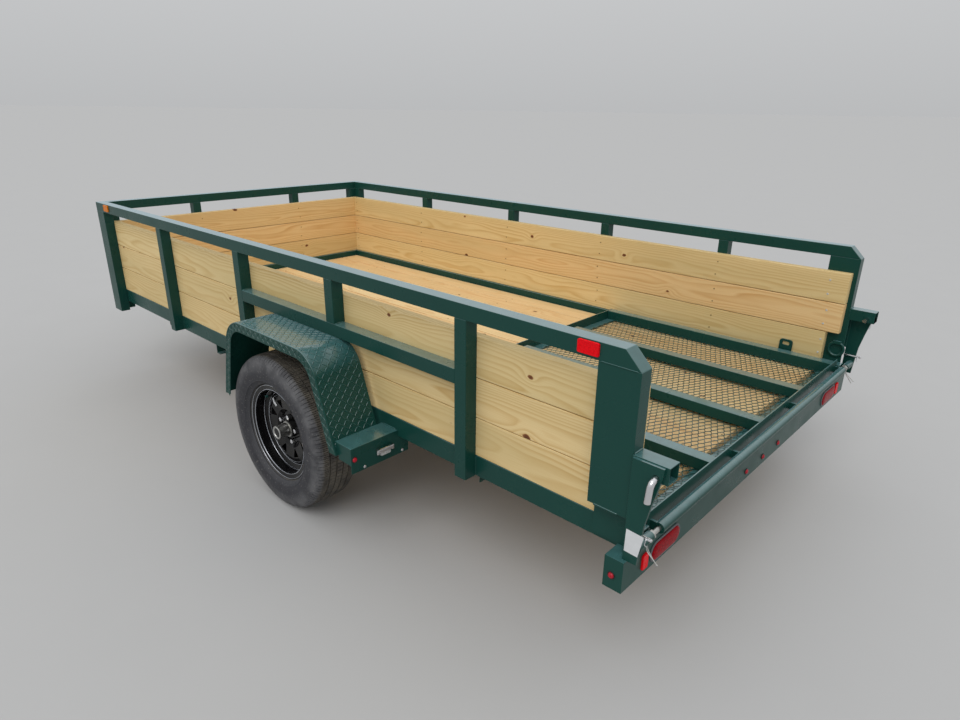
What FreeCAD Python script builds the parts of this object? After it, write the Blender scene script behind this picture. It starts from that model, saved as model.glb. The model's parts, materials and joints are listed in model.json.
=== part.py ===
import FreeCAD, Part
import math
import os
import Sketcher

# Single-axle utility trailer with high board sides and a fold-in ramp gate.
# X runs forward to the coupler, Y to the left, Z up, with the ground at zero, in millimetres.
# The origin lies on the ground in the middle of the overall length and width.

# Driving sizes: name, value, meaning
SIZES = (
    ("frame_length", 3695.0, "rear face of the rear crossmember to front face of the front rail"),
    ("half_width", 914.4, "middle to the outer face of a side rail"),
    ("latch_reach", 85.0, "tip of a latch stub behind the rear crossmember"),
    ("tongue_reach", 1330.0, "tip of the coupler ahead of the front rail"),
    ("rail_bottom", 457.2, "ground to the underside of the side rails"),
    ("rail_height", 76.2, "side and front rail section, tall"),
    ("rail_width", 50.8, "side and front rail section, wide"),
    ("rail_wall", 4.8, "side and front rail wall"),
    ("tube_side", 50.8, "square tube of the posts and the upper rails"),
    ("tube_wall", 3.2, "square tube wall"),
    ("top_gap", 62.7, "uppermost board to the underside of the upper rail"),
    ("wheel_room", 117.8, "tyre to the underside of the rail above the fender"),
    ("top_slope", 50.8, "length of the slope at the rear end of an upper rail"),
    ("top_tail", 19.5, "rear crossmember's rear face to the rear end of an upper rail"),
    ("post_1", 673.0, "rear crossmember's rear face to the front face of the first post"),
    ("post_2", 1373.0, "the same to the second post"),
    ("post_3", 2078.0, "the same to the third post"),
    ("post_4", 2895.0, "the same to the fourth post"),
    ("front_post", 372.0, "middle to the centre of a front post"),
    ("corner_leg", 101.6, "leg of a front corner post"),
    ("corner_drop", 57.0, "front corner post below the side rail"),
    ("rear_post_width", 127.0, "rear corner post along the trailer"),
    ("rear_post_rise", 74.0, "gate hinge axis to the underside of a rear corner post"),
    ("board_height", 139.7, "height of a side board"),
    ("board_thick", 38.1, "thickness of the side and deck boards"),
    ("board_gap", 0.4, "joint between side boards"),
    ("upper_board_end", 38.0, "rear end of the two upper side boards from the rear face"),
    ("lower_board_end", 92.0, "rear end of the lowest side board from the rear face"),
    ("deck_board", 139.7, "width of a deck board"),
    ("deck_gap", 4.0, "joint between deck boards"),
    ("deck_end", 85.0, "rear end of the deck from the rear face"),
    ("cross_depth", 60.0, "rear crossmember along the trailer"),
    ("cross_height", 101.6, "rear crossmember's height"),
    ("cross_over", 18.0, "rear crossmember's top above the underside of the rails"),
    ("cross_out", 75.6, "rear crossmember beyond the side rail"),
    ("cross_wall", 4.8, "rear crossmember's wall"),
    ("angle_top", 50.8, "cross-member angle, top leg"),
    ("angle_down", 50.8, "cross-member angle, hanging leg"),
    ("angle_wall", 4.8, "cross-member angle, thickness"),
    ("angle_1", 635.0, "rear face to the first cross-member under the deck"),
    ("angle_pitch", 610.0, "spacing of the cross-members"),
    ("angle_front", 560.0, "front face back to the cross-member over the tongue"),
    ("angle_lap", 12.7, "cross-member under each side rail"),
    ("tongue_under", 1130.0, "length of a tongue channel under the bed"),
    ("tongue_height", 76.2, "tongue channel's height"),
    ("tongue_width", 38.1, "tongue channel's flange"),
    ("tongue_wall", 5.0, "tongue channel's thickness"),
    ("tongue_spread", 700.0, "middle to the rear end of a tongue channel"),
    ("nose_back", 230.0, "front end of the tongue channels behind the coupler's tip"),
    ("ball_radius", 25.4, "hitch ball that the coupler takes"),
    ("ball_play", 0.6, "play between the ball and its socket"),
    ("coupler_width", 76.2, "coupler channel's width"),
    ("coupler_height", 66.0, "coupler channel's height"),
    ("coupler_wall", 5.0, "coupler's thickness"),
    ("coupler_lap", 200.0, "coupler's plate back over the tongue channels"),
    ("jack_back", 330.0, "jack's axis behind the front end of the tongue channels"),
    ("jack_radius", 28.6, "jack's outer tube"),
    ("jack_wall", 3.2, "jack tube wall"),
    ("jack_bottom", 300.0, "ground to the lower end of the jack's outer tube"),
    ("jack_top", 760.0, "ground to the top of the jack's outer tube"),
    ("jack_play", 0.4, "gap between the jack's tubes"),
    ("jack_foot", 114.0, "side of the jack's foot plate"),
    ("jack_plate", 9.5, "thickness of the jack's mounting plate"),
    ("jack_plate_half", 160.0, "half the width of the jack's mounting plate"),
    ("jack_travel", 250.0, "travel of the jack's leg"),
    ("axle_x", 1590.0, "rear crossmember's rear face to the axle"),
    ("tyre_radius", 338.0, "rolling radius and height of the axle"),
    ("tyre_width", 205.0, "tyre's section width"),
    ("wheel_out", 111.6, "side rail to the middle plane of a wheel"),
    ("cap_radius", 28.5, "dust cap of a hub"),
    ("rim_radius", 208.5, "edge of the rim's flange"),
    ("rim_half", 73.0, "half the rim's overall width"),
    ("window_inner", 92.0, "inner end of a wheel window from the wheel's axis"),
    ("window_outer", 128.0, "outer end of a wheel window from the wheel's axis"),
    ("window_half", 21.0, "half a wheel window's width at its outer end"),
    ("axle_radius", 30.2, "axle tube"),
    ("spindle_radius", 17.5, "axle spindle"),
    ("spindle_play", 0.3, "gap between a spindle and its hub"),
    ("spring_half", 321.0, "half the length of a leaf spring between its eyes"),
    ("spring_width", 44.5, "leaf spring's width"),
    ("leaf_thick", 7.0, "one spring leaf"),
    ("eye_radius", 14.0, "spring eye's outer radius"),
    ("eye_drop", 32.0, "spring eye's centre below the side rail"),
    ("hanger_wall", 5.0, "spring hanger's thickness"),
    ("hanger_play", 0.4, "gap between a spring and the hanger's sides"),
    ("hanger_length", 50.0, "spring hanger along the trailer"),
    ("fender_gap", 25.4, "side rail to a fender"),
    ("fender_width", 203.2, "fender across"),
    ("fender_sheet", 3.0, "fender's thickness"),
    ("fender_lip", 38.1, "fender's outer lip"),
    ("fender_front", 1931.0, "rear face to the front lower end of a fender"),
    ("fender_rear", 1105.0, "rear face to the rear lower end of a fender"),
    ("fender_top_front", 1837.0, "rear face to the front corner of a fender's top"),
    ("fender_top_rear", 1230.0, "rear face to the rear corner of a fender's top"),
    ("fender_bottom", 432.0, "ground to the lower ends of a fender"),
    ("front_bend", 130.0, "bend radius at a fender's front corner"),
    ("rear_bend", 130.0, "bend radius at a fender's rear corner"),
    ("step_width", 216.0, "step box behind a fender, across"),
    ("step_rear", 1028.0, "rear face to a step box's rear wall"),
    ("step_height", 101.6, "height of a step box's rear wall"),
    ("step_side", 68.0, "height of a step box's side"),
    ("step_top", 482.6, "ground to a step box's top"),
    ("plate_spacing", 177.8, "number plate's two holes"),
    ("plate_out", 69.6, "side rail to the centre of the number plate"),
    ("plate_hole", 3.3, "radius of a number plate hole"),
    ("hinge_back", 17.0, "gate hinge axis behind the rear face"),
    ("hinge_rise", 26.7, "deck to the gate hinge axis"),
    ("hinge_pipe", 16.7, "gate hinge pipe's outer radius"),
    ("hinge_pipe_bore", 13.3, "gate hinge pipe's inner radius"),
    ("hinge_pin", 7.94, "gate hinge bolt's radius"),
    ("hinge_play", 0.08, "gap between a hinge bolt and its bush"),
    ("hinge_in", 74.4, "side rail's outer face to the end of the hinge pipe"),
    ("gate_start", 12.0, "rear face to the rear of the gate's hinge edge"),
    ("gate_in", 59.4, "side rail's outer face to the gate's side"),
    ("gate_length", 1207.0, "gate from its hinge edge to its free edge"),
    ("gate_rise", 5.7, "deck to the underside of the folded gate"),
    ("gate_tube", 50.8, "gate's square tube"),
    ("gate_wall", 3.2, "gate's wall"),
    ("gate_lip", 63.5, "gate's hinge edge angle, both legs"),
    ("gate_lip_wall", 4.8, "gate's hinge edge angle, thickness"),
    ("gate_lug", 9.5, "thickness of a hinge lug"),
    ("mesh_thick", 3.6, "expanded metal"),
    ("ear_thick", 9.5, "ear plates that carry the gate's hinge and latch"),
    ("bush_radius", 15.0, "bush of a hinge bolt on its ear plate"),
    ("bush_length", 76.0, "bush inward from its ear plate"),
    ("stub_rise", 218.5, "gate hinge axis to the underside of a latch stub"),
    ("latch_pin", 9.5, "latch pin's radius"),
    ("latch_back", 54.0, "latch pin behind the rear face"),
    ("latch_drop", 62.0, "latch pin's handle below the pin"),
    ("latch_play", 0.3, "gap between a latch pin and its stub"),
    ("tie_place", 222.0, "rear face to a tie-down plate"),
    ("tie_length", 60.0, "tie-down plate's length"),
    ("ring_radius", 32.0, "tie-down ring to the middle of its wire"),
    ("ring_wire", 6.0, "radius of the tie-down ring's wire"),
    ("ring_place", 42.0, "rear face to the middle of the tie-down ring"),
    ("ring_rise", 72.0, "gate hinge axis to the middle of the tie-down ring"),
    ("stow_pin", 5.0, "stow pin's radius"),
    ("stow_rise", 40.0, "gate hinge axis to the stow pin"),
    ("lamp_rise", 46.4, "rear crossmember's underside to the centres of the tail lamps"),
    ("lamp_in", 162.4, "side rail's outer face to the centre of a tail lamp"),
    ("lamp_length", 165.0, "tail lamp's length"),
    ("lamp_tall", 57.0, "tail lamp's height"),
    ("grommet", 7.0, "rubber rim round a tail lamp"),
    ("marker_radius", 9.5, "small round marker lamp"),
    ("marker_pitch", 152.4, "spacing of the three rear marker lamps"),
    ("marker_rise", 33.4, "rear crossmember's underside to the rear marker lamps"),
    ("reflector_in", 42.4, "side rail's outer face to the centre of a rear reflector"),
    ("reflector_length", 68.0, "reflector's length"),
    ("reflector_tall", 38.0, "reflector's height"),
    ("reflector_thick", 6.0, "reflector's thickness"),
    ("reflector_back", 144.0, "rear face to the red reflector on an upper rail"),
    ("reflector_fore", 150.0, "front face back to the front end of the amber reflector"),
)

doc = FreeCAD.newDocument("utility_trailer")
sheet = doc.addObject("Spreadsheet::Sheet", "Sizes")
for row, (size_name, size_value, meaning) in enumerate(SIZES, start=1):
    sheet.set("A%d" % row, meaning)
    sheet.set("B%d" % row, str(size_value))
    sheet.setAlias("B%d" % row, size_name)
doc.recompute()


class Size:
    """A length that keeps the sheet expression it comes from."""

    def __init__(self, value, text):
        self.value = float(value)
        self.text = text

    def joined(self, other, mark, value):
        return Size(value, "(%s %s %s)" % (self.text, mark, size(other).text))

    def __add__(self, other):
        return self.joined(other, "+", self.value + size(other).value)

    def __sub__(self, other):
        return self.joined(other, "-", self.value - size(other).value)

    def __mul__(self, other):
        return self.joined(other, "*", self.value * size(other).value)

    def __truediv__(self, other):
        return self.joined(other, "/", self.value / size(other).value)

    def __radd__(self, other):
        return size(other) + self

    def __rsub__(self, other):
        return size(other) - self

    def __rmul__(self, other):
        return size(other) * self

    def __neg__(self):
        return size(0) - self


def size(number):
    """A plain number as a Size, and a Size as it is."""
    return number if isinstance(number, Size) else Size(number, repr(float(number)))


class Sheet:
    """The sheet's cells by their alias."""

    def __getattr__(self, alias):
        return Size(sheet.get(alias), "Sizes." + alias)


d = Sheet()
nodes = []

# Boards above each other on the sides and the front
BOARDS = 3

# Long bars across the gate's mesh
GATE_BARS = 3

# Deck boards between the side rails
DECK = 12

# Windows round a wheel disc
WINDOWS = 8

# Length of each spring leaf as a share of the longest, from the top
LEAVES = (1.0, 0.78, 0.54, 0.3)

# Places along the trailer and up from the ground
rear = (d.latch_reach - d.frame_length - d.tongue_reach) / 2
front = rear + d.frame_length
tip = front + d.tongue_reach
rail_top = d.rail_bottom + d.rail_height
deck_top = d.rail_bottom + d.board_thick
post_out = d.half_width + d.tube_side
wheel_y = d.half_width + d.wheel_out
cross_half = d.half_width + d.cross_out
hinge_half = d.half_width - d.hinge_in
gate_half = d.half_width - d.gate_in
boards_top = rail_top + BOARDS * d.board_height + (BOARDS - 1) * d.board_gap
top_bottom = boards_top + d.top_gap
mid_bottom = 2 * d.tyre_radius + d.wheel_room
tail = rear + d.top_tail
cross_top = d.rail_bottom + d.cross_over
cross_bottom = cross_top - d.cross_height
lamp_z = cross_bottom + d.lamp_rise
marker_z = cross_bottom + d.marker_rise
board_in = d.half_width - d.board_thick
tongue_bottom = d.rail_bottom - d.tongue_height
nose = tip - d.nose_back
jack_x = nose - d.jack_back
axle = rear + d.axle_x
hinge_x = rear - d.hinge_back
hinge_z = deck_top + d.hinge_rise
stub_z = hinge_z + d.stub_rise
rear_post_z = hinge_z + d.rear_post_rise
hanger_half = d.spring_width / 2 + d.hanger_play + d.hanger_wall
spring_y = d.half_width - hanger_half
eye_z = d.rail_bottom - d.eye_drop
hanger_bottom = eye_z - d.eye_radius - 6


def bind(item, **properties):
    """Ties an object's properties to sizes."""
    for name, value in properties.items():
        item.setExpression(name.replace("_", "."), size(value).text)


def move(item, at):
    """Ties an object's place to sizes."""
    for axis, value in zip("xyz", at):
        item.setExpression("Placement.Base." + axis, size(value).text)
    return item


def box(name, at, extent):
    item = doc.addObject("Part::Box", name)
    bind(item, Length=extent[0], Width=extent[1], Height=extent[2])
    return move(item, at)


TURNS = {
    "x": FreeCAD.Rotation(FreeCAD.Vector(0, 1, 0), 90),
    "y": FreeCAD.Rotation(FreeCAD.Vector(1, 0, 0), -90),
    "z": FreeCAD.Rotation(),
}


def cylinder(name, axis, at, radius, length):
    """A round bar from a point along +X, +Y or +Z."""
    item = doc.addObject("Part::Cylinder", name)
    item.Placement = FreeCAD.Placement(FreeCAD.Vector(), TURNS[axis])
    bind(item, Radius=radius, Height=length)
    return move(item, at)


def cut(name, base, tool):
    item = doc.addObject("Part::Cut", name)
    item.Base = base
    item.Tool = tool
    return item


def fuse(name, parts):
    item = doc.addObject("Part::MultiFuse", name)
    item.Shapes = parts
    return item


def group(name, parts):
    item = doc.addObject("Part::Compound", name)
    item.Links = parts
    return item


def mirrored(name, source):
    """The same piece on the right side."""
    item = doc.addObject("Part::Mirroring", name)
    item.Source = source
    item.Normal = FreeCAD.Vector(0, 1, 0)
    return item


def both_sides(name, left):
    return group(name, [left, mirrored(name + "_right", left)])


def keep(item, label):
    """Marks an object as a sub-part of the trailer."""
    item.Label = label
    nodes.append(item)
    return item


def tube(name, along, at, extent, wall, closed=False):
    """A rectangular tube, open or closed at its ends."""
    inner_at = []
    inner_extent = []
    for axis, start, length in zip("xyz", at, extent):
        through = axis == along and not closed
        inner_at.append(start if through else start + wall)
        inner_extent.append(length if through else length - 2 * wall)
    outer = box(name + "_outer", at, extent)
    inner = box(name + "_inner", inner_at, inner_extent)
    return cut(name, outer, inner)


def angle(name, at, extent, inner_at, inner_extent):
    """An angle section as a bar less the space between its legs."""
    return cut(name, box(name + "_bar", at, extent), box(name + "_space", inner_at, inner_extent))


def stadium(name, centre_y, centre_z, at_x, length, tall, depth):
    """An oval with straight sides, standing in the YZ plane."""
    straight = length - tall
    middle = box(name + "_middle", (at_x, centre_y - straight / 2, centre_z - tall / 2),
                 (depth, straight, tall))
    low = cylinder(name + "_low", "x", (at_x, centre_y - straight / 2, centre_z), tall / 2, depth)
    high = cylinder(name + "_high", "x", (at_x, centre_y + straight / 2, centre_z), tall / 2, depth)
    return fuse(name, [middle, low, high])


PLANES = {"XY": "XY_Plane", "XZ": "XZ_Plane", "YZ": "YZ_Plane"}


def sketch_on(body, name, plane):
    item = body.newObject("Sketcher::SketchObject", name)
    origin = [f for f in body.Origin.OriginFeatures if f.Role == PLANES[plane]][0]
    item.AttachmentSupport = [(origin, "")]
    item.MapMode = "FlatFace"
    return item


def bend_arc(centre, radius, start, end):
    """The short arc between two points, and whether it runs from the second to the first."""
    first = math.atan2(start.y - centre.y, start.x - centre.x)
    last = math.atan2(end.y - centre.y, end.x - centre.x)
    swapped = (last - first) % (2 * math.pi) > math.pi
    if swapped:
        first, last = last, first
    return Part.ArcOfCircle(Part.Circle(centre, FreeCAD.Vector(0, 0, 1), radius), first, last), swapped


def outline(sketch, corners):
    """Closes a line through the corners (x, y) or (x, y, bend radius) and ties each to the sheet."""
    count = len(corners)
    places = [FreeCAD.Vector(size(c[0]).value, size(c[1]).value, 0) for c in corners]
    bends = [size(c[2]) if len(c) > 2 else None for c in corners]
    starts, ends = [], []
    for i in range(count):
        before = (places[i - 1] - places[i]).normalize()
        after = (places[(i + 1) % count] - places[i]).normalize()
        reach = bends[i].value / math.tan(before.getAngle(after) / 2) if bends[i] else 0
        ends.append(places[i] + before * reach)
        starts.append(places[i] + after * reach)
    lines = [sketch.addGeometry(Part.LineSegment(starts[i], ends[(i + 1) % count])) for i in range(count)]
    for i in range(count):
        line_in, line_out = lines[i - 1], lines[i]
        if bends[i]:
            inward = (ends[i] - places[i]).normalize() + (starts[i] - places[i]).normalize()
            inward.normalize()
            half = (ends[i] - places[i]).getAngle(starts[i] - places[i]) / 2
            centre = places[i] + inward * (bends[i].value / math.sin(half))
            arc_curve, swapped = bend_arc(centre, bends[i].value, ends[i], starts[i])
            arc = sketch.addGeometry(arc_curve)
            corner = sketch.addGeometry(Part.Point(places[i]), True)
            first, last = (2, 1) if swapped else (1, 2)
            sketch.addConstraint([
                Sketcher.Constraint("Tangent", line_in, 2, arc, first),
                Sketcher.Constraint("Tangent", arc, last, line_out, 1),
                Sketcher.Constraint("PointOnObject", corner, 1, line_in),
                Sketcher.Constraint("PointOnObject", corner, 1, line_out),
            ])
            radius = sketch.addConstraint(Sketcher.Constraint("Radius", arc, bends[i].value))
            sketch.setExpression("Constraints[%d]" % radius, bends[i].text)
            held, end = corner, 1
        else:
            sketch.addConstraint(Sketcher.Constraint("Coincident", line_in, 2, line_out, 1))
            held, end = line_out, 1
        for kind, value in (("DistanceX", corners[i][0]), ("DistanceY", corners[i][1])):
            rule = sketch.addConstraint(Sketcher.Constraint(kind, -1, 1, held, end, size(value).value))
            sketch.setExpression("Constraints[%d]" % rule, size(value).text)


def prism(name, plane, corners, length, at=(0, 0, 0), middle=False):
    """A body with one padded outline, placed by its sketch origin."""
    body = doc.addObject("PartDesign::Body", name)
    sketch = sketch_on(body, name + "_outline", plane)
    outline(sketch, corners)
    pad = body.newObject("PartDesign::Pad", name + "_pad")
    pad.Profile = sketch
    bind(pad, Length=length)
    pad.Midplane = middle
    body.Tip = pad
    move(body, at)
    return body


def turned(name, corners, at=(0, 0, 0), axis="y"):
    """A body turned about Y from an outline of (place along Y, radius), or about Z from (radius, height)."""
    body = doc.addObject("PartDesign::Body", name)
    sketch = sketch_on(body, name + "_outline", "YZ")
    outline(sketch, corners)
    turn = body.newObject("PartDesign::Revolution", name + "_turn")
    turn.Profile = sketch
    turn.ReferenceAxis = (sketch, ["H_Axis" if axis == "y" else "V_Axis"])
    turn.Angle = 360
    body.Tip = turn
    move(body, at)
    return body


def bed_frame():
    """Side, front and rear rails with the angles that carry the deck."""
    rail = tube("side_rail", "x", (rear, d.half_width - d.rail_width, d.rail_bottom),
                (d.frame_length - d.rail_width, d.rail_width, d.rail_height), d.rail_wall)
    cope = box("side_rail_cope", (rear - 1, d.half_width - d.rail_width - 1, d.rail_bottom - 1),
               (d.cross_depth + 1, d.rail_width + 2, d.cross_over + 1))
    keep(both_sides("side_rails", cut("side_rail_coped", rail, cope)), "side_rails")
    keep(tube("front_rail", "y", (front - d.rail_width, -d.half_width, d.rail_bottom),
              (d.rail_width, 2 * d.half_width, d.rail_height), d.rail_wall), "front_rail")

    beam = tube("rear_beam", "y", (rear, -cross_half, cross_bottom),
                (d.cross_depth, 2 * cross_half, d.cross_height), d.cross_wall, closed=True)
    holes = []
    for side, sign in (("left", 1), ("right", -1)):
        holes.append(stadium("lamp_hole_" + side, sign * (d.half_width - d.lamp_in), lamp_z, rear - 1,
                             d.lamp_length + d.grommet, d.lamp_tall + d.grommet, d.cross_wall + 2))
    keep(cut("rear_crossmember", beam, fuse("lamp_holes", holes)), "rear_crossmember")


def cross_angle(name, x):
    reach = d.half_width - d.rail_width + d.angle_lap
    return angle(name, (x, -reach, d.rail_bottom - d.angle_down), (d.angle_top, 2 * reach, d.angle_down),
                 (x + d.angle_wall, -reach, d.rail_bottom - d.angle_down),
                 (d.angle_top, 2 * reach, d.angle_down - d.angle_wall))


def hanger_block(name, sign):
    """Outside of a spring hanger under the left rail."""
    end = axle + sign * d.spring_half - d.hanger_length / 2
    return box(name, (end, spring_y - hanger_half, hanger_bottom),
               (d.hanger_length, 2 * hanger_half, d.rail_bottom - hanger_bottom))


def cross_angles():
    """Angles across the bed under the deck, notched where the springs and hangers pass."""
    count = int((front - d.tongue_under - rear - d.angle_1).value / d.angle_pitch.value)
    places = [d.cross_depth] + [d.angle_1 + n * d.angle_pitch for n in range(count)]
    bars = [cross_angle("cross_angle_%d" % n, rear + place) for n, place in enumerate(places)]
    blocks = [hanger_block("hanger_space_front", 1), hanger_block("hanger_space_rear", -1)]
    low = d.rail_bottom - d.angle_down - 1
    blocks.append(box("spring_space", (axle - d.spring_half, spring_y - hanger_half, low),
                      (2 * d.spring_half, 2 * hanger_half, d.rail_bottom - d.angle_wall - low)))
    blocks += [mirrored(block.Name + "_right", block) for block in blocks]
    whole = group("cross_angles_whole", bars)
    spaces = fuse("hanger_spaces", blocks)
    keep(cut("cross_members", whole, spaces), "cross_members")
    return spaces


def tongue():
    """Two channels that run forward from under the bed and meet at the coupler."""
    length = d.tongue_under + nose - front
    inner = d.tongue_spread - d.tongue_width
    corners = ((nose, 0), (nose, d.tongue_width),
               (nose - length, d.tongue_spread), (nose - length, inner))
    solid = prism("tongue_solid", "XY", corners, d.tongue_height, (0, 0, tongue_bottom))
    hollow_corners = ((nose, -d.tongue_wall), (nose, d.tongue_width - d.tongue_wall),
                      (nose - length, d.tongue_spread - d.tongue_wall),
                      (nose - length, inner - d.tongue_wall))
    hollow = prism("tongue_hollow", "XY", hollow_corners, d.tongue_height - 2 * d.tongue_wall,
                   (0, 0, tongue_bottom + d.tongue_wall))
    left = cut("tongue_left", solid, hollow)
    keep(both_sides("tongue_rails", left), "tongue_rails")
    return solid


def front_cross(channel, spring_spaces):
    """The front angle, cut where the tongue passes, and the channel at the tongue's rear end."""
    pair = fuse("tongue_envelope", [channel, mirrored("channel_right", channel)])
    bar = cross_angle("front_angle", front - d.angle_front)
    keep(cut("front_cross_member", bar, pair), "front_cross_member")
    x = front - d.tongue_under - d.tongue_width
    reach = d.half_width - d.rail_width + d.angle_lap
    beam = angle("tongue_beam", (x, -reach, tongue_bottom), (d.tongue_width, 2 * reach, d.tongue_height),
                 (x - 1, -reach, tongue_bottom + d.tongue_wall),
                 (d.tongue_width - d.tongue_wall + 1, 2 * reach, d.tongue_height - 2 * d.tongue_wall))
    keep(cut("tongue_crossbar", beam, spring_spaces), "tongue_crossbar")


def coupler():
    """Ball coupler on the nose of the tongue: a channel with a round end over the ball's cup."""
    half = d.coupler_width / 2
    ball = tip - half
    base = d.rail_bottom - d.coupler_height / 2
    wall = d.coupler_wall
    spread = (d.tongue_spread - d.tongue_width) / (d.tongue_under + nose - front)
    lap_half = d.tongue_width + spread * d.coupler_lap
    lap = -d.coupler_lap
    corners = ((lap, -lap_half), (0, -half), (wall, -half), (wall, half), (0, half), (lap, lap_half))
    plate = prism("coupler_plate", "XY", corners, wall + 1, (nose, 0, d.rail_bottom))
    shell = box("coupler_shell", (nose, -half, base), (ball - nose, d.coupler_width, d.coupler_height))
    round_nose = cylinder("coupler_nose", "z", (ball, 0, base), half, d.coupler_height)
    channel = box("coupler_channel", (nose + wall, -half + wall, base - 1),
                  (ball - nose - wall, d.coupler_width - 2 * wall, d.coupler_height - wall + 1))
    round_space = cylinder("coupler_nose_space", "z", (ball, 0, base - 1), half - wall,
                           d.coupler_height - wall + 1)
    body = fuse("coupler_body", [plate, shell, round_nose])
    keep(cut("coupler", body, fuse("coupler_space", [channel, round_space])), "coupler")

    radius = d.ball_radius + d.ball_play
    low = -d.coupler_height / 2
    high = d.coupler_height / 2 - wall
    lean = math.tan(math.radians(15))
    shoulder = math.cos(math.radians(45)) / math.cos(math.radians(15))
    profile = ((radius, low), (half - wall, low), (half - wall, high), (0, high), (0, radius),
               (radius * lean, radius), (radius * shoulder, radius * shoulder), (radius, radius * lean))
    keep(turned("coupler_cup", profile, (ball, 0, d.rail_bottom), "z"), "coupler_cup")

    # Latch handle over the channel: a folded lever that lies back along the top
    handle = prism("latch_handle", "XZ",
                   ((0, 0), (12, 22), (100, 30, 20), (128, 18), (122, 10), (96, 20, 14), (30, 12), (36, 0)),
                   d.coupler_width / 2, (nose + 12, d.coupler_width / 4, base + d.coupler_height))
    keep(handle, "coupler_latch")


def jack():
    """Tongue jack: outer tube on a plate, inner leg with a foot, and a crank on top."""
    outer = cylinder("jack_outer", "z", (jack_x, 0, d.jack_bottom), d.jack_radius, d.jack_top - d.jack_bottom)
    bore = cylinder("jack_bore", "z", (jack_x, 0, d.jack_bottom - 1), d.jack_radius - d.jack_wall,
                    d.jack_top - d.jack_bottom - d.jack_plate)
    plate = box("jack_flange", (jack_x - 70, -d.jack_plate_half, d.rail_bottom),
                (140, 2 * d.jack_plate_half, d.jack_plate))
    keep(cut("jack_housing", fuse("jack_tube", [outer, plate]), bore), "jack_housing")

    crank_z = d.jack_top - 30
    shaft = cylinder("crank_shaft", "y", (jack_x, d.jack_radius, crank_z), 8, 33)
    arm = cylinder("crank_arm", "z", (jack_x, d.jack_radius + 31, crank_z - 150), 7, 153)
    grip = cylinder("crank_grip", "y", (jack_x, d.jack_radius + 27, crank_z - 145), 13, 95)
    keep(fuse("jack_crank", [shaft, arm, grip]), "jack_crank")

    leg_radius = d.jack_radius - d.jack_wall - d.jack_play
    leg = cylinder("jack_inner", "z", (jack_x, 0, 0), leg_radius, d.jack_bottom + d.jack_travel - 75)
    foot = box("jack_foot_plate", (jack_x - d.jack_foot / 2, -d.jack_foot / 2, 0),
               (d.jack_foot, d.jack_foot, 8))
    collar = cylinder("jack_foot_collar", "z", (jack_x, 0, 0), d.jack_radius, 40)
    keep(fuse("jack_leg", [leg, foot, collar]), "jack_leg")


def upper_rails():
    """Upper rail round three sides, sloped and closed at its rear ends."""
    tube_height = d.tube_side
    side_length = front + d.tube_side - tail
    corners = ((0, 0), (side_length, 0), (side_length, tube_height), (d.top_slope, tube_height))
    outer = prism("top_outer", "XZ", corners, d.tube_side, (tail, post_out, top_bottom))
    wall = d.tube_wall
    inner_corners = ((2.4 * wall, wall), (side_length, wall), (side_length, tube_height - wall),
                     (d.top_slope + 0.4 * wall, tube_height - wall))
    inner = prism("top_inner", "XZ", inner_corners, d.tube_side - 2 * wall,
                  (tail, post_out - wall, top_bottom))
    left = cut("left_top_rail", outer, inner)
    keep(left, "left_top_rail")
    keep(mirrored("right_top_rail", left), "right_top_rail")
    keep(tube("front_top_rail", "y", (front, -d.half_width, top_bottom),
              (d.tube_side, 2 * d.half_width, d.tube_side), d.tube_wall), "front_top_rail")


def posts():
    """Square posts outside the boards, and the rail that carries one above the fender."""
    mid_top = mid_bottom + d.tube_side
    # place from the rear face, foot
    table = ((d.post_1, d.rail_bottom), (d.post_2, mid_top),
             (d.post_3, d.rail_bottom), (d.post_4, d.rail_bottom))
    tubes = []
    for n, (place, foot) in enumerate(table, start=1):
        tubes.append(tube("side_post_%d" % n, "z", (rear + place - d.tube_side, d.half_width, foot),
                          (d.tube_side, d.tube_side, top_bottom - foot), d.tube_wall))
    left = group("left_posts", tubes)
    keep(left, "left_posts")
    keep(mirrored("right_posts", left), "right_posts")

    middle = tube("front_post", "z", (front, d.front_post - d.tube_side / 2, d.rail_bottom),
                  (d.tube_side, d.tube_side, top_bottom - d.rail_bottom), d.tube_wall)
    keep(both_sides("front_posts", middle), "front_posts")

    start = d.post_1
    length = d.post_3 - d.tube_side - start
    mid = tube("mid_rail", "x", (rear + start, d.half_width, mid_bottom),
               (length, d.tube_side, d.tube_side), d.tube_wall)
    keep(both_sides("mid_rails", mid), "mid_rails")

    foot = d.rail_bottom - d.corner_drop
    leg = d.corner_leg
    side = d.tube_side
    wall = d.tube_wall
    corners = ((0, 0), (-leg, 0), (-leg, -side), (-side, -side), (-side, -leg), (0, -leg))
    corner = prism("corner_outer", "XY", corners, top_bottom - foot, (front + side, post_out, foot))
    cells = []
    for n, (x, y) in enumerate(((-side, -side), (-2 * side, -side), (-side, -2 * side))):
        cells.append(box("corner_cell_%d" % n, (front + side + x + wall, post_out + y + wall, foot),
                         (side - 2 * wall, side - 2 * wall, top_bottom - foot)))
    corner_post = cut("front_corner_post", corner, fuse("corner_cells", cells))
    keep(both_sides("front_corner_posts", corner_post), "front_corner_posts")

    back = tube("rear_corner_post", "z", (tail, d.half_width, rear_post_z),
                (d.rear_post_width, d.tube_side, top_bottom - rear_post_z), d.tube_wall)
    keep(both_sides("rear_corner_posts", back), "rear_corner_posts")


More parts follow.
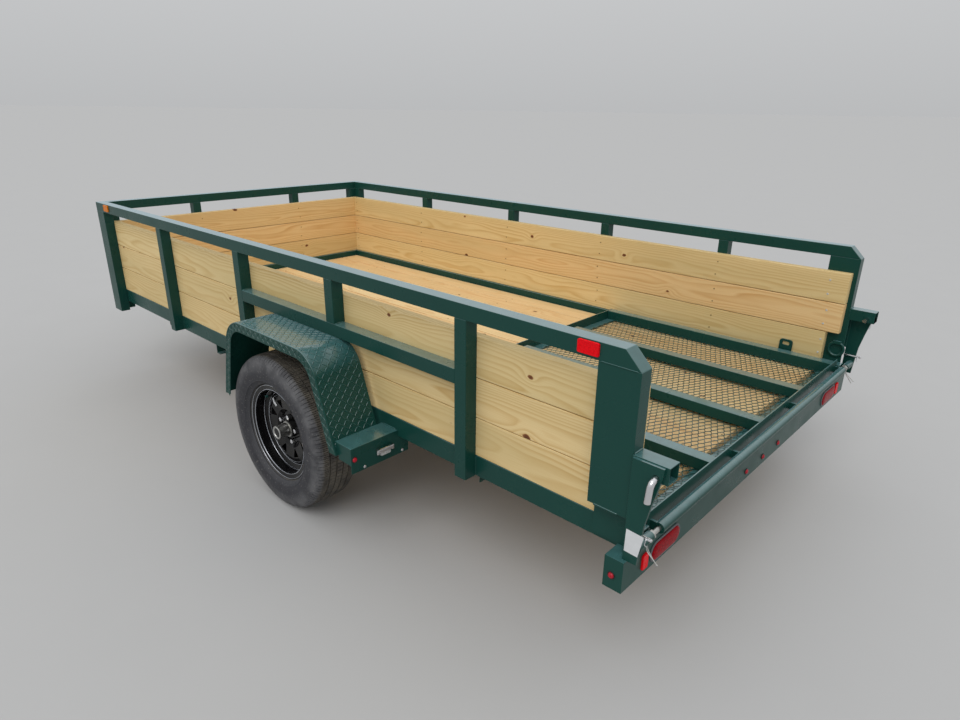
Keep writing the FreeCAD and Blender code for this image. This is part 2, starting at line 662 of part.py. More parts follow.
def boards():
    """Three boards high on the sides and the front, and the deck."""
    left = []
    for n in range(BOARDS):
        end = d.upper_board_end if n else d.lower_board_end
        z = rail_top + n * (d.board_height + d.board_gap)
        left.append(box("side_board_%d" % n, (rear + end, board_in, z),
                        (d.frame_length - end, d.board_thick, d.board_height)))
    side = group("left_boards", left)
    keep(side, "left_boards")
    keep(mirrored("right_boards", side), "right_boards")
    end_boards = []
    for n in range(BOARDS):
        z = rail_top + n * (d.board_height + d.board_gap)
        end_boards.append(box("end_board_%d" % n, (front - d.board_thick, -board_in + d.board_gap, z),
                              (d.board_thick, 2 * (board_in - d.board_gap), d.board_height)))
    keep(group("front_boards", end_boards), "front_boards")

    pitch = d.deck_board + d.deck_gap
    length = d.frame_length - d.rail_width - d.deck_gap - d.deck_end
    deck = []
    for n in range(DECK):
        y = (n - DECK / 2) * pitch + d.deck_gap / 2
        deck.append(box("deck_board_%d" % n, (rear + d.deck_end, y, d.rail_bottom),
                        (length, d.deck_board, d.board_thick)))
    keep(group("deck_boards", deck), "deck_boards")


def running_gear():
    """Axle, leaf springs, hangers, hubs, rims and tyres."""
    inner_end = wheel_y - 62
    beam = cylinder("axle_beam", "y", (axle, -inner_end, d.tyre_radius), d.axle_radius, 2 * inner_end)
    outer_end = wheel_y + 30
    spindle = cylinder("axle_spindle", "y", (axle, -outer_end, d.tyre_radius), d.spindle_radius,
                       2 * outer_end)
    seat_low = d.tyre_radius + d.axle_radius - 6
    seat_top = d.tyre_radius + d.axle_radius + 6
    seat = box("spring_seat", (axle - 50, spring_y - d.spring_width / 2, seat_low),
               (100, d.spring_width, seat_top - seat_low))
    keep(fuse("axle", [beam, spindle, seat, mirrored("spring_seat_right", seat)]), "axle")

    half = d.spring_half
    top = seat_top + len(LEAVES) * d.leaf_thick
    rise = eye_z + d.leaf_thick / 2 - top
    right = [(50, 0), (half * 0.5, rise * 0.25), (half, rise)]
    for n, reach in enumerate(LEAVES, start=1):
        right.append((half * reach, rise * reach ** 2 - n * d.leaf_thick))
        if n < len(LEAVES):
            following = LEAVES[n]
            right.append((half * following, rise * following ** 2 - n * d.leaf_thick))
    right.append((50, -len(LEAVES) * d.leaf_thick))
    left = [(-x, z) for x, z in reversed(right)]
    inner_side = spring_y - d.spring_width / 2
    pieces = [prism("leaf_pack", "XZ", right + left, d.spring_width,
                    (axle, inner_side + d.spring_width, top))]
    for name, sign in (("front", 1), ("rear", -1)):
        pieces.append(cylinder("eye_" + name, "y", (axle + sign * half, inner_side, eye_z),
                               d.eye_radius, d.spring_width))
    keep(both_sides("leaf_springs", fuse("leaf_spring", pieces)), "leaf_springs")

    hangers = []
    wall = d.hanger_wall
    for name, sign in (("front", 1), ("rear", -1)):
        end = axle + sign * half - d.hanger_length / 2
        inner = box("hanger_%s_inner" % name, (end - 1, spring_y - hanger_half + wall, hanger_bottom - 1),
                    (d.hanger_length + 2, 2 * (hanger_half - wall), d.rail_bottom - wall - hanger_bottom + 1))
        hangers.append(cut("hanger_" + name, hanger_block("hanger_%s_outer" % name, sign), inner))
    keep(both_sides("spring_hangers", group("spring_hanger", hangers)), "spring_hangers")

    play = d.spindle_radius + d.spindle_play
    centre = (axle, wheel_y, d.tyre_radius)
    cap = d.cap_radius
    hub = turned("left_hub", (
        (-60, play), (-60, 44), (-12, 44), (-12, 74), (0, 74), (0, 40), (26, 38), (28, cap),
        (73, cap), (76, cap - 3), (76, 0), (40, 0), (40, play)), centre)
    keep(hub, "left_hub")
    keep(mirrored("right_hub", hub), "right_hub")

    edge = d.rim_radius
    wide = d.rim_half
    hoop = turned("rim_hoop", (
        (-wide, edge), (-wide + 7, edge), (-wide + 9, edge - 18), (-wide + 33, edge - 20),
        (-wide + 43, edge - 41), (12, edge - 41), (24, edge - 20), (wide - 9, edge - 18),
        (wide - 7, edge), (wide, edge), (wide - 4, edge - 21), (27, edge - 24), (16, edge - 45),
        (-wide + 40, edge - 45), (-wide + 30, edge - 24), (-wide + 4, edge - 21)), centre)
    seat = edge - 44
    fold = d.window_inner - 6
    disc = turned("rim_disc", (
        (-12, seat), (10, seat), (24, seat - 14), (28, seat - 32), (22, fold), (10, fold - 12),
        (4.5, fold - 15), (4.5, 42.5), (0, 42.5), (0, fold - 13), (6, fold - 8), (17, fold + 2),
        (23, seat - 32), (20, seat - 18), (6, seat - 4.5), (-12, seat - 4.5)), centre)
    window = sketch_on(disc, "rim_window", "XZ")
    lean, drop = math.sin(math.pi / WINDOWS), -math.cos(math.pi / WINDOWS)
    corners = []
    ends = ((d.window_inner, 3), (d.window_outer, d.window_half),
            (d.window_outer, -d.window_half), (d.window_inner, -3))
    for radius, half_width in ends:
        corners.append((radius * lean + half_width * drop, radius * drop - half_width * lean, 2))
    outline(window, corners)
    hole = disc.newObject("PartDesign::Pocket", "rim_window_cut")
    hole.Profile = window
    hole.Type = 1
    hole.Midplane = True
    ring = disc.newObject("PartDesign::PolarPattern", "rim_windows")
    ring.Originals = [hole]
    ring.Axis = ([f for f in disc.Origin.OriginFeatures if f.Role == "Y_Axis"][0], [""])
    ring.Angle = 360
    ring.Occurrences = WINDOWS
    disc.Tip = ring
    rim = fuse("left_rim", [hoop, disc])
    keep(rim, "left_rim")
    keep(mirrored("right_rim", rim), "right_rim")

    r = d.tyre_radius
    half_width = d.tyre_width / 2
    tread = half_width - 26
    tyre_side = (
        (wide - 20, edge - 17.5), (wide - 9.4, edge - 17.5), (wide - 7.3, edge + 2), (half_width, edge + 42),
        (half_width - 6, r - 40), (tread + 2, r - 8), (tread - 14, r))
    inside = ((-tread, r - 20), (-half_width + 13, edge + 40))
    tyre_corners = list(tyre_side) + [(-y, radius) for y, radius in reversed(tyre_side)]
    tyre_corners += [(y, radius) for y, radius in reversed(inside)] + [(-y, radius) for y, radius in inside]
    tyre = turned("left_tyre", tyre_corners, centre)
    keep(tyre, "left_tyre")
    keep(mirrored("right_tyre", tyre), "right_tyre")


def fenders():
    """Bent sheet over each wheel with a lip along its outer edge."""
    body = doc.addObject("PartDesign::Body", "left_fender")
    profile = sketch_on(body, "fender_profile", "XZ")
    corners = ((d.fender_front, 0), (d.fender_top_front, mid_bottom - d.fender_bottom, d.front_bend),
               (d.fender_top_rear, mid_bottom - d.fender_bottom, d.rear_bend), (d.fender_rear, 0))
    outline(profile, corners)
    pad = body.newObject("PartDesign::Pad", "fender_block")
    pad.Profile = profile
    bind(pad, Length=d.fender_width)
    body.Tip = pad
    doc.recompute()
    box_ = pad.Shape.BoundBox
    removed = []
    for n, face in enumerate(pad.Shape.Faces, start=1):
        level = face.BoundBox
        if level.ZLength < 0.01 and level.ZMax < box_.ZMin + 0.01:
            removed.append("Face%d" % n)
        if level.YLength < 0.01 and level.YMin < box_.YMin + 0.01:
            removed.append("Face%d" % n)
    shell = body.newObject("PartDesign::Thickness", "fender_shell")
    shell.Base = (pad, removed)
    bind(shell, Value=d.fender_sheet)
    shell.Reversed = 1
    shell.Mode = 0
    shell.Join = 0
    body.Tip = shell
    open_side = sketch_on(body, "fender_opening", "XZ")
    lip = d.fender_lip
    top = mid_bottom - d.fender_bottom
    outline(open_side, ((d.fender_front - lip * 1.03, -1),
                        (d.fender_top_front - lip * 0.77, top - lip, d.front_bend - lip),
                        (d.fender_top_rear + lip * 0.71, top - lip, d.rear_bend - lip),
                        (d.fender_rear + lip * 1.06, -1)))
    pocket = body.newObject("PartDesign::Pocket", "fender_lip")
    pocket.Profile = open_side
    bind(pocket, Length=d.fender_sheet + 2)
    pocket.Reversed = True
    body.Tip = pocket
    move(body, (rear, d.half_width + d.fender_gap + d.fender_width, d.fender_bottom))
    doc.recompute()
    if pocket.Shape.Volume >= shell.Shape.Volume:
        raise RuntimeError("the fender's side stays closed")
    keep(body, "left_fender")
    keep(mirrored("right_fender", body), "right_fender")


def step_boxes():
    """Folded step box behind each fender; the left one takes the number plate."""
    slope = (d.fender_top_rear - d.fender_rear) / (mid_bottom - d.fender_bottom)
    bottom = d.step_top - d.step_height
    length = d.fender_rear - d.step_rear
    turn = d.fender_bottom - bottom
    lean = slope * (d.step_top - d.fender_bottom)
    wall = d.fender_sheet
    at = (rear + d.step_rear, d.half_width + d.step_width, bottom)
    outer = prism("step_outer", "XZ", ((0, 0), (length, 0), (length, turn), (length + lean, d.step_height),
                                       (0, d.step_height)), d.step_width, at)
    inner = prism("step_inner", "XZ", ((wall, -1), (length - wall, -1), (length - wall, turn),
                                       (length - wall + lean - slope * wall, d.step_height - wall),
                                       (wall, d.step_height - wall)), d.step_width,
                  (rear + d.step_rear, d.half_width + d.step_width - wall, bottom))
    side_space = box("step_side_space", (rear + d.step_rear + wall, d.half_width - 1, bottom - 1),
                     (length + lean, d.step_width + 2, d.step_height - d.step_side + 1))
    under_rail = box("step_under_rail", (rear + d.step_rear, d.half_width - d.rail_width, bottom),
                     (wall, d.rail_width + wall, d.rail_bottom - bottom))
    folded = cut("step_folded", outer, fuse("step_space", [inner, side_space]))
    shell = fuse("step_shell", [folded, under_rail])
    holes = []
    for n in (-1, 1):
        y = d.half_width + d.plate_out + n * d.plate_spacing / 2
        holes.append(cylinder("plate_hole_%d" % n, "x", (rear + d.step_rear - 1, y, bottom + 11),
                              d.plate_hole, wall + 2))
    keep(cut("left_step_box", shell, fuse("plate_holes", holes)), "left_step_box")
    keep(mirrored("right_step_box", shell), "right_step_box")


def lamps():
    """Oval tail lamps in rubber rims, small round markers, and reflectors."""
    rims, lenses = [], []
    for side, sign in (("left", 1), ("right", -1)):
        y = sign * (d.half_width - d.lamp_in)
        lip = stadium("rim_lip_" + side, y, lamp_z, rear - 4, d.lamp_length + 2 * d.grommet,
                      d.lamp_tall + 2 * d.grommet, 4)
        sleeve = stadium("rim_sleeve_" + side, y, lamp_z, rear, d.lamp_length + d.grommet,
                         d.lamp_tall + d.grommet, d.cross_wall + 5)
        space = stadium("rim_space_" + side, y, lamp_z, rear - 5, d.lamp_length, d.lamp_tall,
                        d.cross_wall + 12)
        rims.append(cut("lamp_rim_" + side, fuse("rim_whole_" + side, [lip, sleeve]), space))
        lenses.append(stadium("lens_" + side, y, lamp_z, rear - 9, d.lamp_length, d.lamp_tall,
                              d.cross_wall + 16))
    keep(group("lamp_rims", rims), "lamp_rims")
    keep(group("tail_lamps", lenses), "tail_lamps")

    small = []
    for n in (-1, 0, 1):
        small.append(cylinder("id_lamp_%d" % (n + 2), "x", (rear - 8, n * d.marker_pitch, marker_z),
                              d.marker_radius, 8))
    end = cylinder("end_lamp", "y", (rear + 34, cross_half, marker_z + 12), d.marker_radius, 8)
    step_y = d.half_width + d.step_width - 14
    step = cylinder("step_lamp", "x", (rear + d.step_rear - 8, step_y, marker_z + 30), d.marker_radius, 8)
    keep(group("marker_lamps", small + [end, mirrored("end_lamp_right", end), step]), "marker_lamps")

    back = box("rear_reflector", (rear - d.reflector_thick, d.half_width - d.reflector_in - 16, lamp_z - 26),
               (d.reflector_thick, 32, 52))
    flat = (d.reflector_length, d.reflector_thick, d.reflector_tall)
    high = box("side_reflector_rear", (rear + d.reflector_back, post_out, top_bottom + 9), flat)
    keep(both_sides("red_reflectors", group("left_red_reflectors", [back, high])), "red_reflectors")
    fore = box("side_reflector_front", (front - d.reflector_fore, post_out, top_bottom + 9), flat)
    keep(both_sides("amber_reflectors", fore), "amber_reflectors")


def gate_hardware():
    """Ear plates, hinge bolts in their bushes, and the latch stubs with their bent pins."""
    pin_x = rear - d.latch_back
    pin_z = stub_z + 15
    stub_top = stub_z + d.tube_side
    inner_plate = box("ear_inner", (tail, d.half_width, cross_top),
                      (d.rear_post_width, d.ear_thick, rear_post_z - cross_top))
    outer_plate = prism("ear_outer", "XZ", ((d.top_tail - 4, cross_top), (d.top_tail - 4, stub_top - 3),
                                            (-74, stub_top - 3), (-74, stub_top - 24), (-50, stub_z - 70),
                                            (-36, stub_z - 140), (-27, cross_top)),
                        d.ear_thick, (rear, post_out + d.ear_thick, 0))
    bush = cylinder("ear_bush", "y", (hinge_x, post_out - d.bush_length, hinge_z), d.bush_radius,
                    d.bush_length)
    hinge_hole = cylinder("ear_hinge_hole", "y", (hinge_x, post_out - d.bush_length - 1, hinge_z),
                          d.hinge_pin + d.hinge_play, d.bush_length + d.ear_thick + 2)
    latch_hole = cylinder("ear_latch_hole", "y", (pin_x, post_out - 1, pin_z), d.latch_pin + d.latch_play,
                          d.ear_thick + 2)
    carrier = cut("ear_carrier", fuse("ear_carrier_solid", [outer_plate, bush]),
                  fuse("ear_holes", [hinge_hole, latch_hole]))
    keep(both_sides("hinge_plates", group("hinge_plate", [inner_plate, carrier])), "hinge_plates")

    shank = cylinder("hinge_shank", "y", (hinge_x, hinge_half - 34, hinge_z), d.hinge_pin,
                     post_out + d.ear_thick - (hinge_half - 34))
    nut = cylinder("hinge_nut", "y", (hinge_x, post_out - d.bush_length - 14, hinge_z), 12.5, 13)
    keep(both_sides("hinge_bolts", fuse("hinge_bolt", [shank, nut])), "hinge_bolts")

    stub = tube("latch_stub", "x", (rear - d.latch_reach, d.half_width, stub_z),
                (d.latch_reach + d.top_tail, d.tube_side, d.tube_side), d.tube_wall)
    pin_hole = cylinder("latch_hole", "y", (pin_x, d.half_width - 1, pin_z), d.latch_pin + d.latch_play,
                        d.tube_side + 2)
    keep(both_sides("latch_stubs", cut("latch_stub_open", stub, pin_hole)), "latch_stubs")
    handle_y = post_out + d.ear_thick + 2.5 * d.latch_pin
    pin = cylinder("latch_bar", "y", (pin_x, d.half_width - 34, pin_z), d.latch_pin,
                   handle_y + d.latch_pin - (d.half_width - 34))
    handle = cylinder("latch_handle_rod", "z", (pin_x, handle_y, pin_z - d.latch_drop), d.latch_pin,
                      d.latch_drop)
    keep(both_sides("latch_pins", fuse("latch_pin", [pin, handle])), "latch_pins")

    tie = box("tie_blank", (rear + d.tie_place, d.half_width - d.rail_width + 4, rail_top),
              (d.tie_length, 6, 66))
    slot = box("tie_slot", (rear + d.tie_place + 14, d.half_width - d.rail_width, rail_top + 38),
               (d.tie_length - 28, 12, 17))
    keep(both_sides("tie_plates", cut("tie_plate", tie, slot)), "tie_plates")

    wire = d.ring_wire
    flat = wire * math.tan(math.pi / 8)
    eighths = ((-wire, -flat), (-flat, -wire), (flat, -wire), (wire, -flat),
               (wire, flat), (flat, wire), (-flat, wire), (-wire, flat))
    ring_z = hinge_z + d.ring_rise
    ring = turned("ring_wire", [(y, d.ring_radius + r) for y, r in eighths],
                  (rear + d.ring_place, d.half_width - wire, ring_z))
    saddle = box("ring_saddle",
                 (rear + d.ring_place - 18, d.half_width - 2 * wire - 3, ring_z + d.ring_radius - 8),
                 (36, 2 * wire + 3, 16))
    keep(both_sides("tie_rings", fuse("tie_ring", [ring, saddle])), "tie_rings")
    stow = cylinder("stow_pin", "x", (rear - 58, post_out - d.stow_pin, hinge_z + d.stow_rise),
                    d.stow_pin, 73)
    keep(both_sides("stow_pins", stow), "stow_pins")


def ramp_gate():
    """The gate folded flat on the deck: tube frame, long bars, mesh below them, and the hinge pipe."""
    start = rear + d.gate_start
    low = deck_top + d.gate_rise
    side = d.gate_tube
    wall = d.gate_wall
    end = start + d.gate_length
    inner = gate_half - side
    leg = d.gate_lip_wall
    left = box("gate_side_outer", (start + leg, inner, low), (d.gate_length - leg, side, side))
    left_in = box("gate_side_inner", (start + leg + wall, inner + wall, low + wall),
                  (d.gate_length - leg - 2 * wall, side - 2 * wall, side - 2 * wall))
    free = box("gate_end_outer", (end - side, -gate_half, low), (side, 2 * gate_half, side))
    free_in = box("gate_end_inner", (end - side + wall, -gate_half + wall, low + wall),
                  (side - 2 * wall, 2 * (gate_half - wall), side - 2 * wall))
    edge = angle("gate_hinge_edge", (start, -gate_half, low), (d.gate_lip, 2 * gate_half, d.gate_lip),
                 (start + leg, -gate_half - 1, low + leg), (d.gate_lip, 2 * gate_half + 2, d.gate_lip))
    walls = fuse("gate_walls", [left, mirrored("gate_side_right", left), free])
    hollows = fuse("gate_hollows", [left_in, mirrored("gate_hollow_right", left_in), free_in])
    keep(fuse("gate_frame", [cut("gate_tubes", walls, hollows), edge]), "gate_frame")

    mesh_low = low + leg
    mesh_top = mesh_low + d.mesh_thick
    bay = (2 * inner - GATE_BARS * side) / (GATE_BARS + 1)
    bars = []
    for n in range(GATE_BARS):
        y = (bay + side) * (n + 1) - side - inner
        bars.append(tube("gate_bar_%d" % (n + 1), "x", (start + leg, y, mesh_top),
                         (d.gate_length - leg - side, side, low + side - mesh_top), wall))
    keep(group("gate_bars", bars), "gate_bars")
    mesh = box("gate_mesh", (start + leg, -inner, mesh_low),
               (d.gate_length - leg - side, 2 * inner, d.mesh_thick))
    keep(mesh, "gate_mesh")

    pipe = cylinder("pipe_outer", "y", (hinge_x, -hinge_half, hinge_z), d.hinge_pipe, 2 * hinge_half)
    lugs = []
    ends = (-hinge_half, -hinge_half / 3, hinge_half / 3 - d.gate_lug, hinge_half - d.gate_lug)
    for n, y in enumerate(ends, start=1):
        lugs.append(box("hinge_lug_%d" % n, (hinge_x, y, hinge_z - 14), (start - hinge_x, d.gate_lug, 28)))
    hollow = cylinder("pipe_inner", "y", (hinge_x, -(hinge_half - 40), hinge_z), d.hinge_pipe_bore,
                      2 * (hinge_half - 40))
    bore = cylinder("pipe_bush", "y", (hinge_x, -(hinge_half + 1), hinge_z), d.hinge_pin + d.hinge_play,
                    2 * (hinge_half + 1))
    whole_pipe = fuse("pipe_lugs", [pipe] + lugs)
    keep(cut("gate_hinge_pipe", whole_pipe, fuse("pipe_space", [hollow, bore])), "gate_hinge_pipe")


bed_frame()
spring_spaces = cross_angles()
front_cross(tongue(), spring_spaces)
coupler()
jack()
upper_rails()
posts()
boards()
running_gear()
fenders()
step_boxes()
lamps()
gate_hardware()
ramp_gate()
doc.recompute()

faults = []
for item in doc.Objects:
    broken = "Invalid" in item.State or "Error" in item.State
    shape = getattr(item, "Shape", None)
    solid = shape is not None and item.TypeId != "Sketcher::SketchObject"
    if broken or (solid and (shape.isNull() or not shape.isValid())):
        faults.append(item.Name)
if faults:
    raise RuntimeError("not built: " + ", ".join(faults))

os.makedirs("parts", exist_ok=True)
for item in nodes:
    item.Shape.exportStep("parts/" + item.Label + ".step")
    limits = item.Shape.BoundBox
    print("%-22s %9.2f %s" % (item.Label, item.Shape.Volume / 1e6, [
        round(v) for v in (limits.XMin, limits.XMax, limits.YMin, limits.YMax, limits.ZMin, limits.ZMax)]))
print(len(nodes), "parts,", round(sum(item.Shape.Volume for item in nodes) / 1e9, 4), "cubic metres")
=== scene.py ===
import json
import random
from math import cos, radians, sin, sqrt, tan, tau

import bmesh
import bpy
from mathutils import Matrix, Vector

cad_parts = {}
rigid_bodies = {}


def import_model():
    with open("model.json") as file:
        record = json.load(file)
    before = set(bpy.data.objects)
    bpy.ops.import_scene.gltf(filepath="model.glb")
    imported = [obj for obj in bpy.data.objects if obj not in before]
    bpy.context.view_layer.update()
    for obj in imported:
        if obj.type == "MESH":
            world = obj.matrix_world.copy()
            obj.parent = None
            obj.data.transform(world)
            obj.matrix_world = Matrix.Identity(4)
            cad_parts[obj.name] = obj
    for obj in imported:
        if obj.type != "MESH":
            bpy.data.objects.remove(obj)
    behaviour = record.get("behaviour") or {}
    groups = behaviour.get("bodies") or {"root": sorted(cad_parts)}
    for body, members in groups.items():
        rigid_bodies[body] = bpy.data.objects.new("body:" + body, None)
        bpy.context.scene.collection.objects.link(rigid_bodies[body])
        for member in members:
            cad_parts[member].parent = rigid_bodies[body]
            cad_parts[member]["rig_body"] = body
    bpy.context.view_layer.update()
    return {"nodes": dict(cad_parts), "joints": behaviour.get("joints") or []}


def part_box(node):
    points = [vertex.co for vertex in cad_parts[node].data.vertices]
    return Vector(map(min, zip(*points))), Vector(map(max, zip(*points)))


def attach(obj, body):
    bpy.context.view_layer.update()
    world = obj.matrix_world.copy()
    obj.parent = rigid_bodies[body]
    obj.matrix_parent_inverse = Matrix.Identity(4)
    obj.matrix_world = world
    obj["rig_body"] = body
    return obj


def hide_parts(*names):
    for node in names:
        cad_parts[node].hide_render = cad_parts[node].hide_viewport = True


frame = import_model()
random.seed(7)

# Places read from the frame, in metres: X forward, Y to the left, Z up
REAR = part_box("rear_crossmember")[0].x
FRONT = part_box("front_rail")[1].x
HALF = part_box("side_rails")[1].y
RAIL_LOW, RAIL_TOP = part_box("side_rails")[0].z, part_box("side_rails")[1].z
TONGUE_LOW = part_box("tongue_rails")[0].z
DECK_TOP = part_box("deck_boards")[1].z
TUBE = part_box("left_top_rail")[1].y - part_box("left_top_rail")[0].y
OUTER = HALF + TUBE
JOINTS = {joint["name"]: Vector(joint["pos_m"]) for joint in frame["joints"]}
WHEEL = JOINTS["left_wheel_spin"]
HINGE = JOINTS["ramp_gate_swing"]

BED = frame["nodes"]["side_rails"]["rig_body"]
GATE = frame["nodes"]["gate_frame"]["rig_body"]
# Signs of Y on the left and the right
SIGNS = (1, -1)


def linear(red, green, blue):
    """A colour written as 0 to 255 per channel, as Blender's linear colour."""
    channels = [value / 255 for value in (red, green, blue)]
    return tuple(v / 12.92 if v <= 0.04045 else ((v + 0.055) / 1.055) ** 2.4 for v in channels) + (1.0,)


def mm(*rows):
    """Rows of millimetres as metres."""
    return tuple(tuple(value / 1000 for value in row) for row in rows)


class Look:
    """A material whose node tree is built in short steps."""

    def __init__(self, name, **shader):
        self.material = bpy.data.materials.new(name)
        self.material.use_nodes = True
        self.tree = self.material.node_tree
        self.shader = self.tree.nodes["Principled BSDF"]
        self.finish(**shader)

    def feed(self, socket, value):
        if isinstance(value, bpy.types.NodeSocket):
            self.tree.links.new(value, socket)
        else:
            socket.default_value = value

    def add(self, kind, inputs, **settings):
        node = self.tree.nodes.new("ShaderNode" + kind)
        for key, value in settings.items():
            setattr(node, key, value)
        for key, value in inputs.items():
            self.feed(node.inputs[key], value)
        return node

    def place(self):
        return self.add("TexCoord", {}).outputs["Object"]

    def split(self, vector):
        return self.add("SeparateXYZ", {"Vector": vector}).outputs

    def noise(self, vector, scale, detail=2.0):
        return self.add("TexNoise", {"Vector": vector, "Scale": scale, "Detail": detail}).outputs["Fac"]

    def stretched(self, vector, scale):
        return self.add("Mapping", {"Vector": vector, "Scale": scale}).outputs["Vector"]

    def ranged(self, value, low, high, to_low=0.0, to_high=1.0):
        inputs = {"Value": value, "From Min": low, "From Max": high, "To Min": to_low, "To Max": to_high}
        return self.add("MapRange", inputs).outputs["Result"]

    def calc(self, kind, first, second=0.0):
        return self.add("Math", {0: first, 1: second}, operation=kind).outputs[0]

    def times(self, first, second):
        return self.calc("MULTIPLY", first, second)

    def distance(self, first, second):
        squares = [self.calc("POWER", value, 2.0) for value in (first, second)]
        return self.calc("SQRT", self.calc("ADD", *squares))

    def vectors(self, kind, first, second):
        return self.add("VectorMath", {0: first, 1: second}, operation=kind).outputs[0]

    def mix(self, share, first, second):
        return self.add("Mix", {0: share, 6: first, 7: second}, data_type="RGBA").outputs[2]

    def bump(self, height, distance, strength):
        inputs = {"Height": height, "Distance": distance, "Strength": strength}
        return self.add("Bump", inputs).outputs["Normal"]

    def finish(self, **shader):
        for key, value in shader.items():
            self.feed(self.shader.inputs[key.replace("_", " ")], value)
        return self.material


def powder_coat(name, dust_and_sheen_low, dust_and_sheen_high, gloss):
    """Dark green gloss powder coat: orange peel, and on what faces the sky a thin pale tint, partly dust and
    partly painted sky reflection, and a sheen.
    """
    look = Look(name, Coat_Roughness=0.10, Coat_IOR=1.65, Sheen_Roughness=0.30,
                Sheen_Tint=linear(186, 224, 240))
    place = look.place()
    patches = look.noise(place, 2.5, 3.0)
    paint = look.mix(patches, linear(18, 61, 55), linear(26, 73, 65))
    grit = look.ranged(look.noise(place, 38.0, 6.0), 0.40, 0.75)
    facing = look.split(look.add("NewGeometry", {}).outputs["Normal"])["Z"]
    top = look.ranged(facing, 0.3, 1.0)
    # Faces that look up are mixed towards pale sky blue: partly dust, partly a painted reflection of the sky
    film = look.times(top, look.ranged(grit, 0.0, 1.0, dust_and_sheen_low, dust_and_sheen_high))
    return look.finish(
        Base_Color=look.mix(film, paint, linear(140, 212, 222)),
        Roughness=look.ranged(look.noise(place, 9.0, 4.0), 0.3, 0.7, 0.24, 0.36),
        Specular_IOR_Level=look.ranged(top, 0.0, 1.0, 0.20, 0.95),
        Coat_Weight=look.times(top, gloss),
        Sheen_Weight=look.times(top, 0.95 * gloss),
        Normal=look.bump(look.noise(place, 420.0, 1.0), 0.00012, 0.5))


def knots(look, grain):
    """Knots in a flat net of cells along a board: their bend of the rings, their share and their heart's."""
    net = look.stretched(grain, (1.5, 4.2, 0.0))
    cells = look.add("TexVoronoi", {"Vector": net, "Scale": 1.0}, voronoi_dimensions="2D")
    size = look.add("SeparateColor", {"Color": cells.outputs["Color"]}).outputs["Red"]
    near = look.split(look.vectors("SUBTRACT", net, cells.outputs["Position"]))
    far = look.distance(look.calc("DIVIDE", near["X"], 2.3), look.calc("DIVIDE", near["Y"], 4.2))
    has_knot = look.ranged(size, 0.55, 0.60)
    swell = look.calc("POWER", look.ranged(far, 0.0, 0.060, 1.0, 0.0), 2.0)
    bend = look.times(look.times(swell, 0.016), has_knot)
    ragged = look.ranged(look.noise(grain, 60.0), 0.0, 1.0, -0.006, 0.001)
    inside = look.calc("SUBTRACT", look.calc("ADD", look.times(size, 0.014), ragged), far)
    knot = look.times(look.ranged(inside, 0.0, 0.0020), has_knot)
    heart = look.times(look.ranged(inside, 0.001, 0.006), has_knot)
    return bend, knot, heart


# Width of a year's growth, and how pale to dark runs across it: place, grey
YEAR = 0.0075
YEAR_BANDS = ((0.0, 0.0), (0.35, 0.10), (0.82, 1.0), (1.0, 0.0))


def year_bands(look, ring):
    node = look.add("ValToRGB", {"Fac": ring})
    stops = node.color_ramp.elements
    while len(stops) < len(YEAR_BANDS):
        stops.new(0.5)
    for stop, (position, grey) in zip(stops, YEAR_BANDS):
        stop.position = position
        stop.color = (grey, grey, grey, 1)
    return node.outputs["Color"]


def pine(name, light, dark, age):
    """Sawn pine: rings round the board's pith line, knots, and fine fibres; each board has its own tone."""
    look = Look(name, Specular_IOR_Level=0.3)
    grain = look.add("Attribute", {}, attribute_name="grain").outputs["Vector"]
    warmth = look.add("Attribute", {}, attribute_name="warmth").outputs["Fac"]
    slow = look.stretched(grain, (1.3, 7.0, 7.0))
    drift = look.add("TexNoise", {"Vector": slow, "Scale": 1.0, "Detail": 2.0}).outputs["Color"]
    centred = look.vectors("SUBTRACT", drift, (0.5, 0.5, 0.5))
    shift = look.add("VectorMath", {0: centred, "Scale": 0.052}, operation="SCALE").outputs[0]
    moved = look.split(look.vectors("ADD", grain, shift))
    bend, knot, heart = knots(look, grain)
    radius = look.calc("ADD", look.distance(moved["Y"], moved["Z"]), bend)
    bands = year_bands(look, look.calc("FRACT", look.times(radius, 1 / YEAR)))
    late = look.ranged(look.noise(look.stretched(grain, (2.0, 12.0, 12.0)), 1.0), 0.3, 0.7, 0.35, 1.0)
    share = look.times(bands, late)
    warm_light = look.mix(warmth, light, linear(240, 198, 142))
    warm_dark = look.mix(warmth, dark, linear(222, 164, 106))
    ringed = look.mix(share, warm_light, warm_dark)
    fibre = look.noise(look.stretched(grain, (10.0, 520.0, 520.0)), 1.0, 4.0)
    fibred = look.mix(look.ranged(fibre, 0.40, 0.72, 0.0, 0.30), ringed, warm_dark)
    tone = look.noise(look.stretched(grain, (0.6, 6.0, 6.0)), 1.0)
    toned = look.mix(look.ranged(tone, 0.35, 0.7, 0.0, age), fibred, linear(196, 176, 122))
    rimmed = look.mix(knot, toned, linear(150, 96, 54))
    height = look.calc("ADD", look.times(fibre, 0.7), look.times(share, 0.3))
    return look.finish(
        Base_Color=look.mix(heart, rimmed, linear(104, 62, 36)),
        Roughness=look.ranged(fibre, 0.3, 0.7, 0.55, 0.72),
        Normal=look.bump(height, 0.0004, 0.45))


def metal(name, colour, rough, metallic, grit=0.12):
    """Bare or plated metal with a slightly uneven sheen."""
    look = Look(name, Metallic=metallic)
    place = look.place()
    cloud = look.noise(place, 60.0, 4.0)
    return look.finish(
        Base_Color=look.mix(look.times(cloud, grit), colour, linear(70, 68, 64)),
        Roughness=look.ranged(cloud, 0.3, 0.7, rough * 0.8, rough * 1.3),
        Normal=look.bump(look.noise(place, 900.0), 0.00004, 0.4))


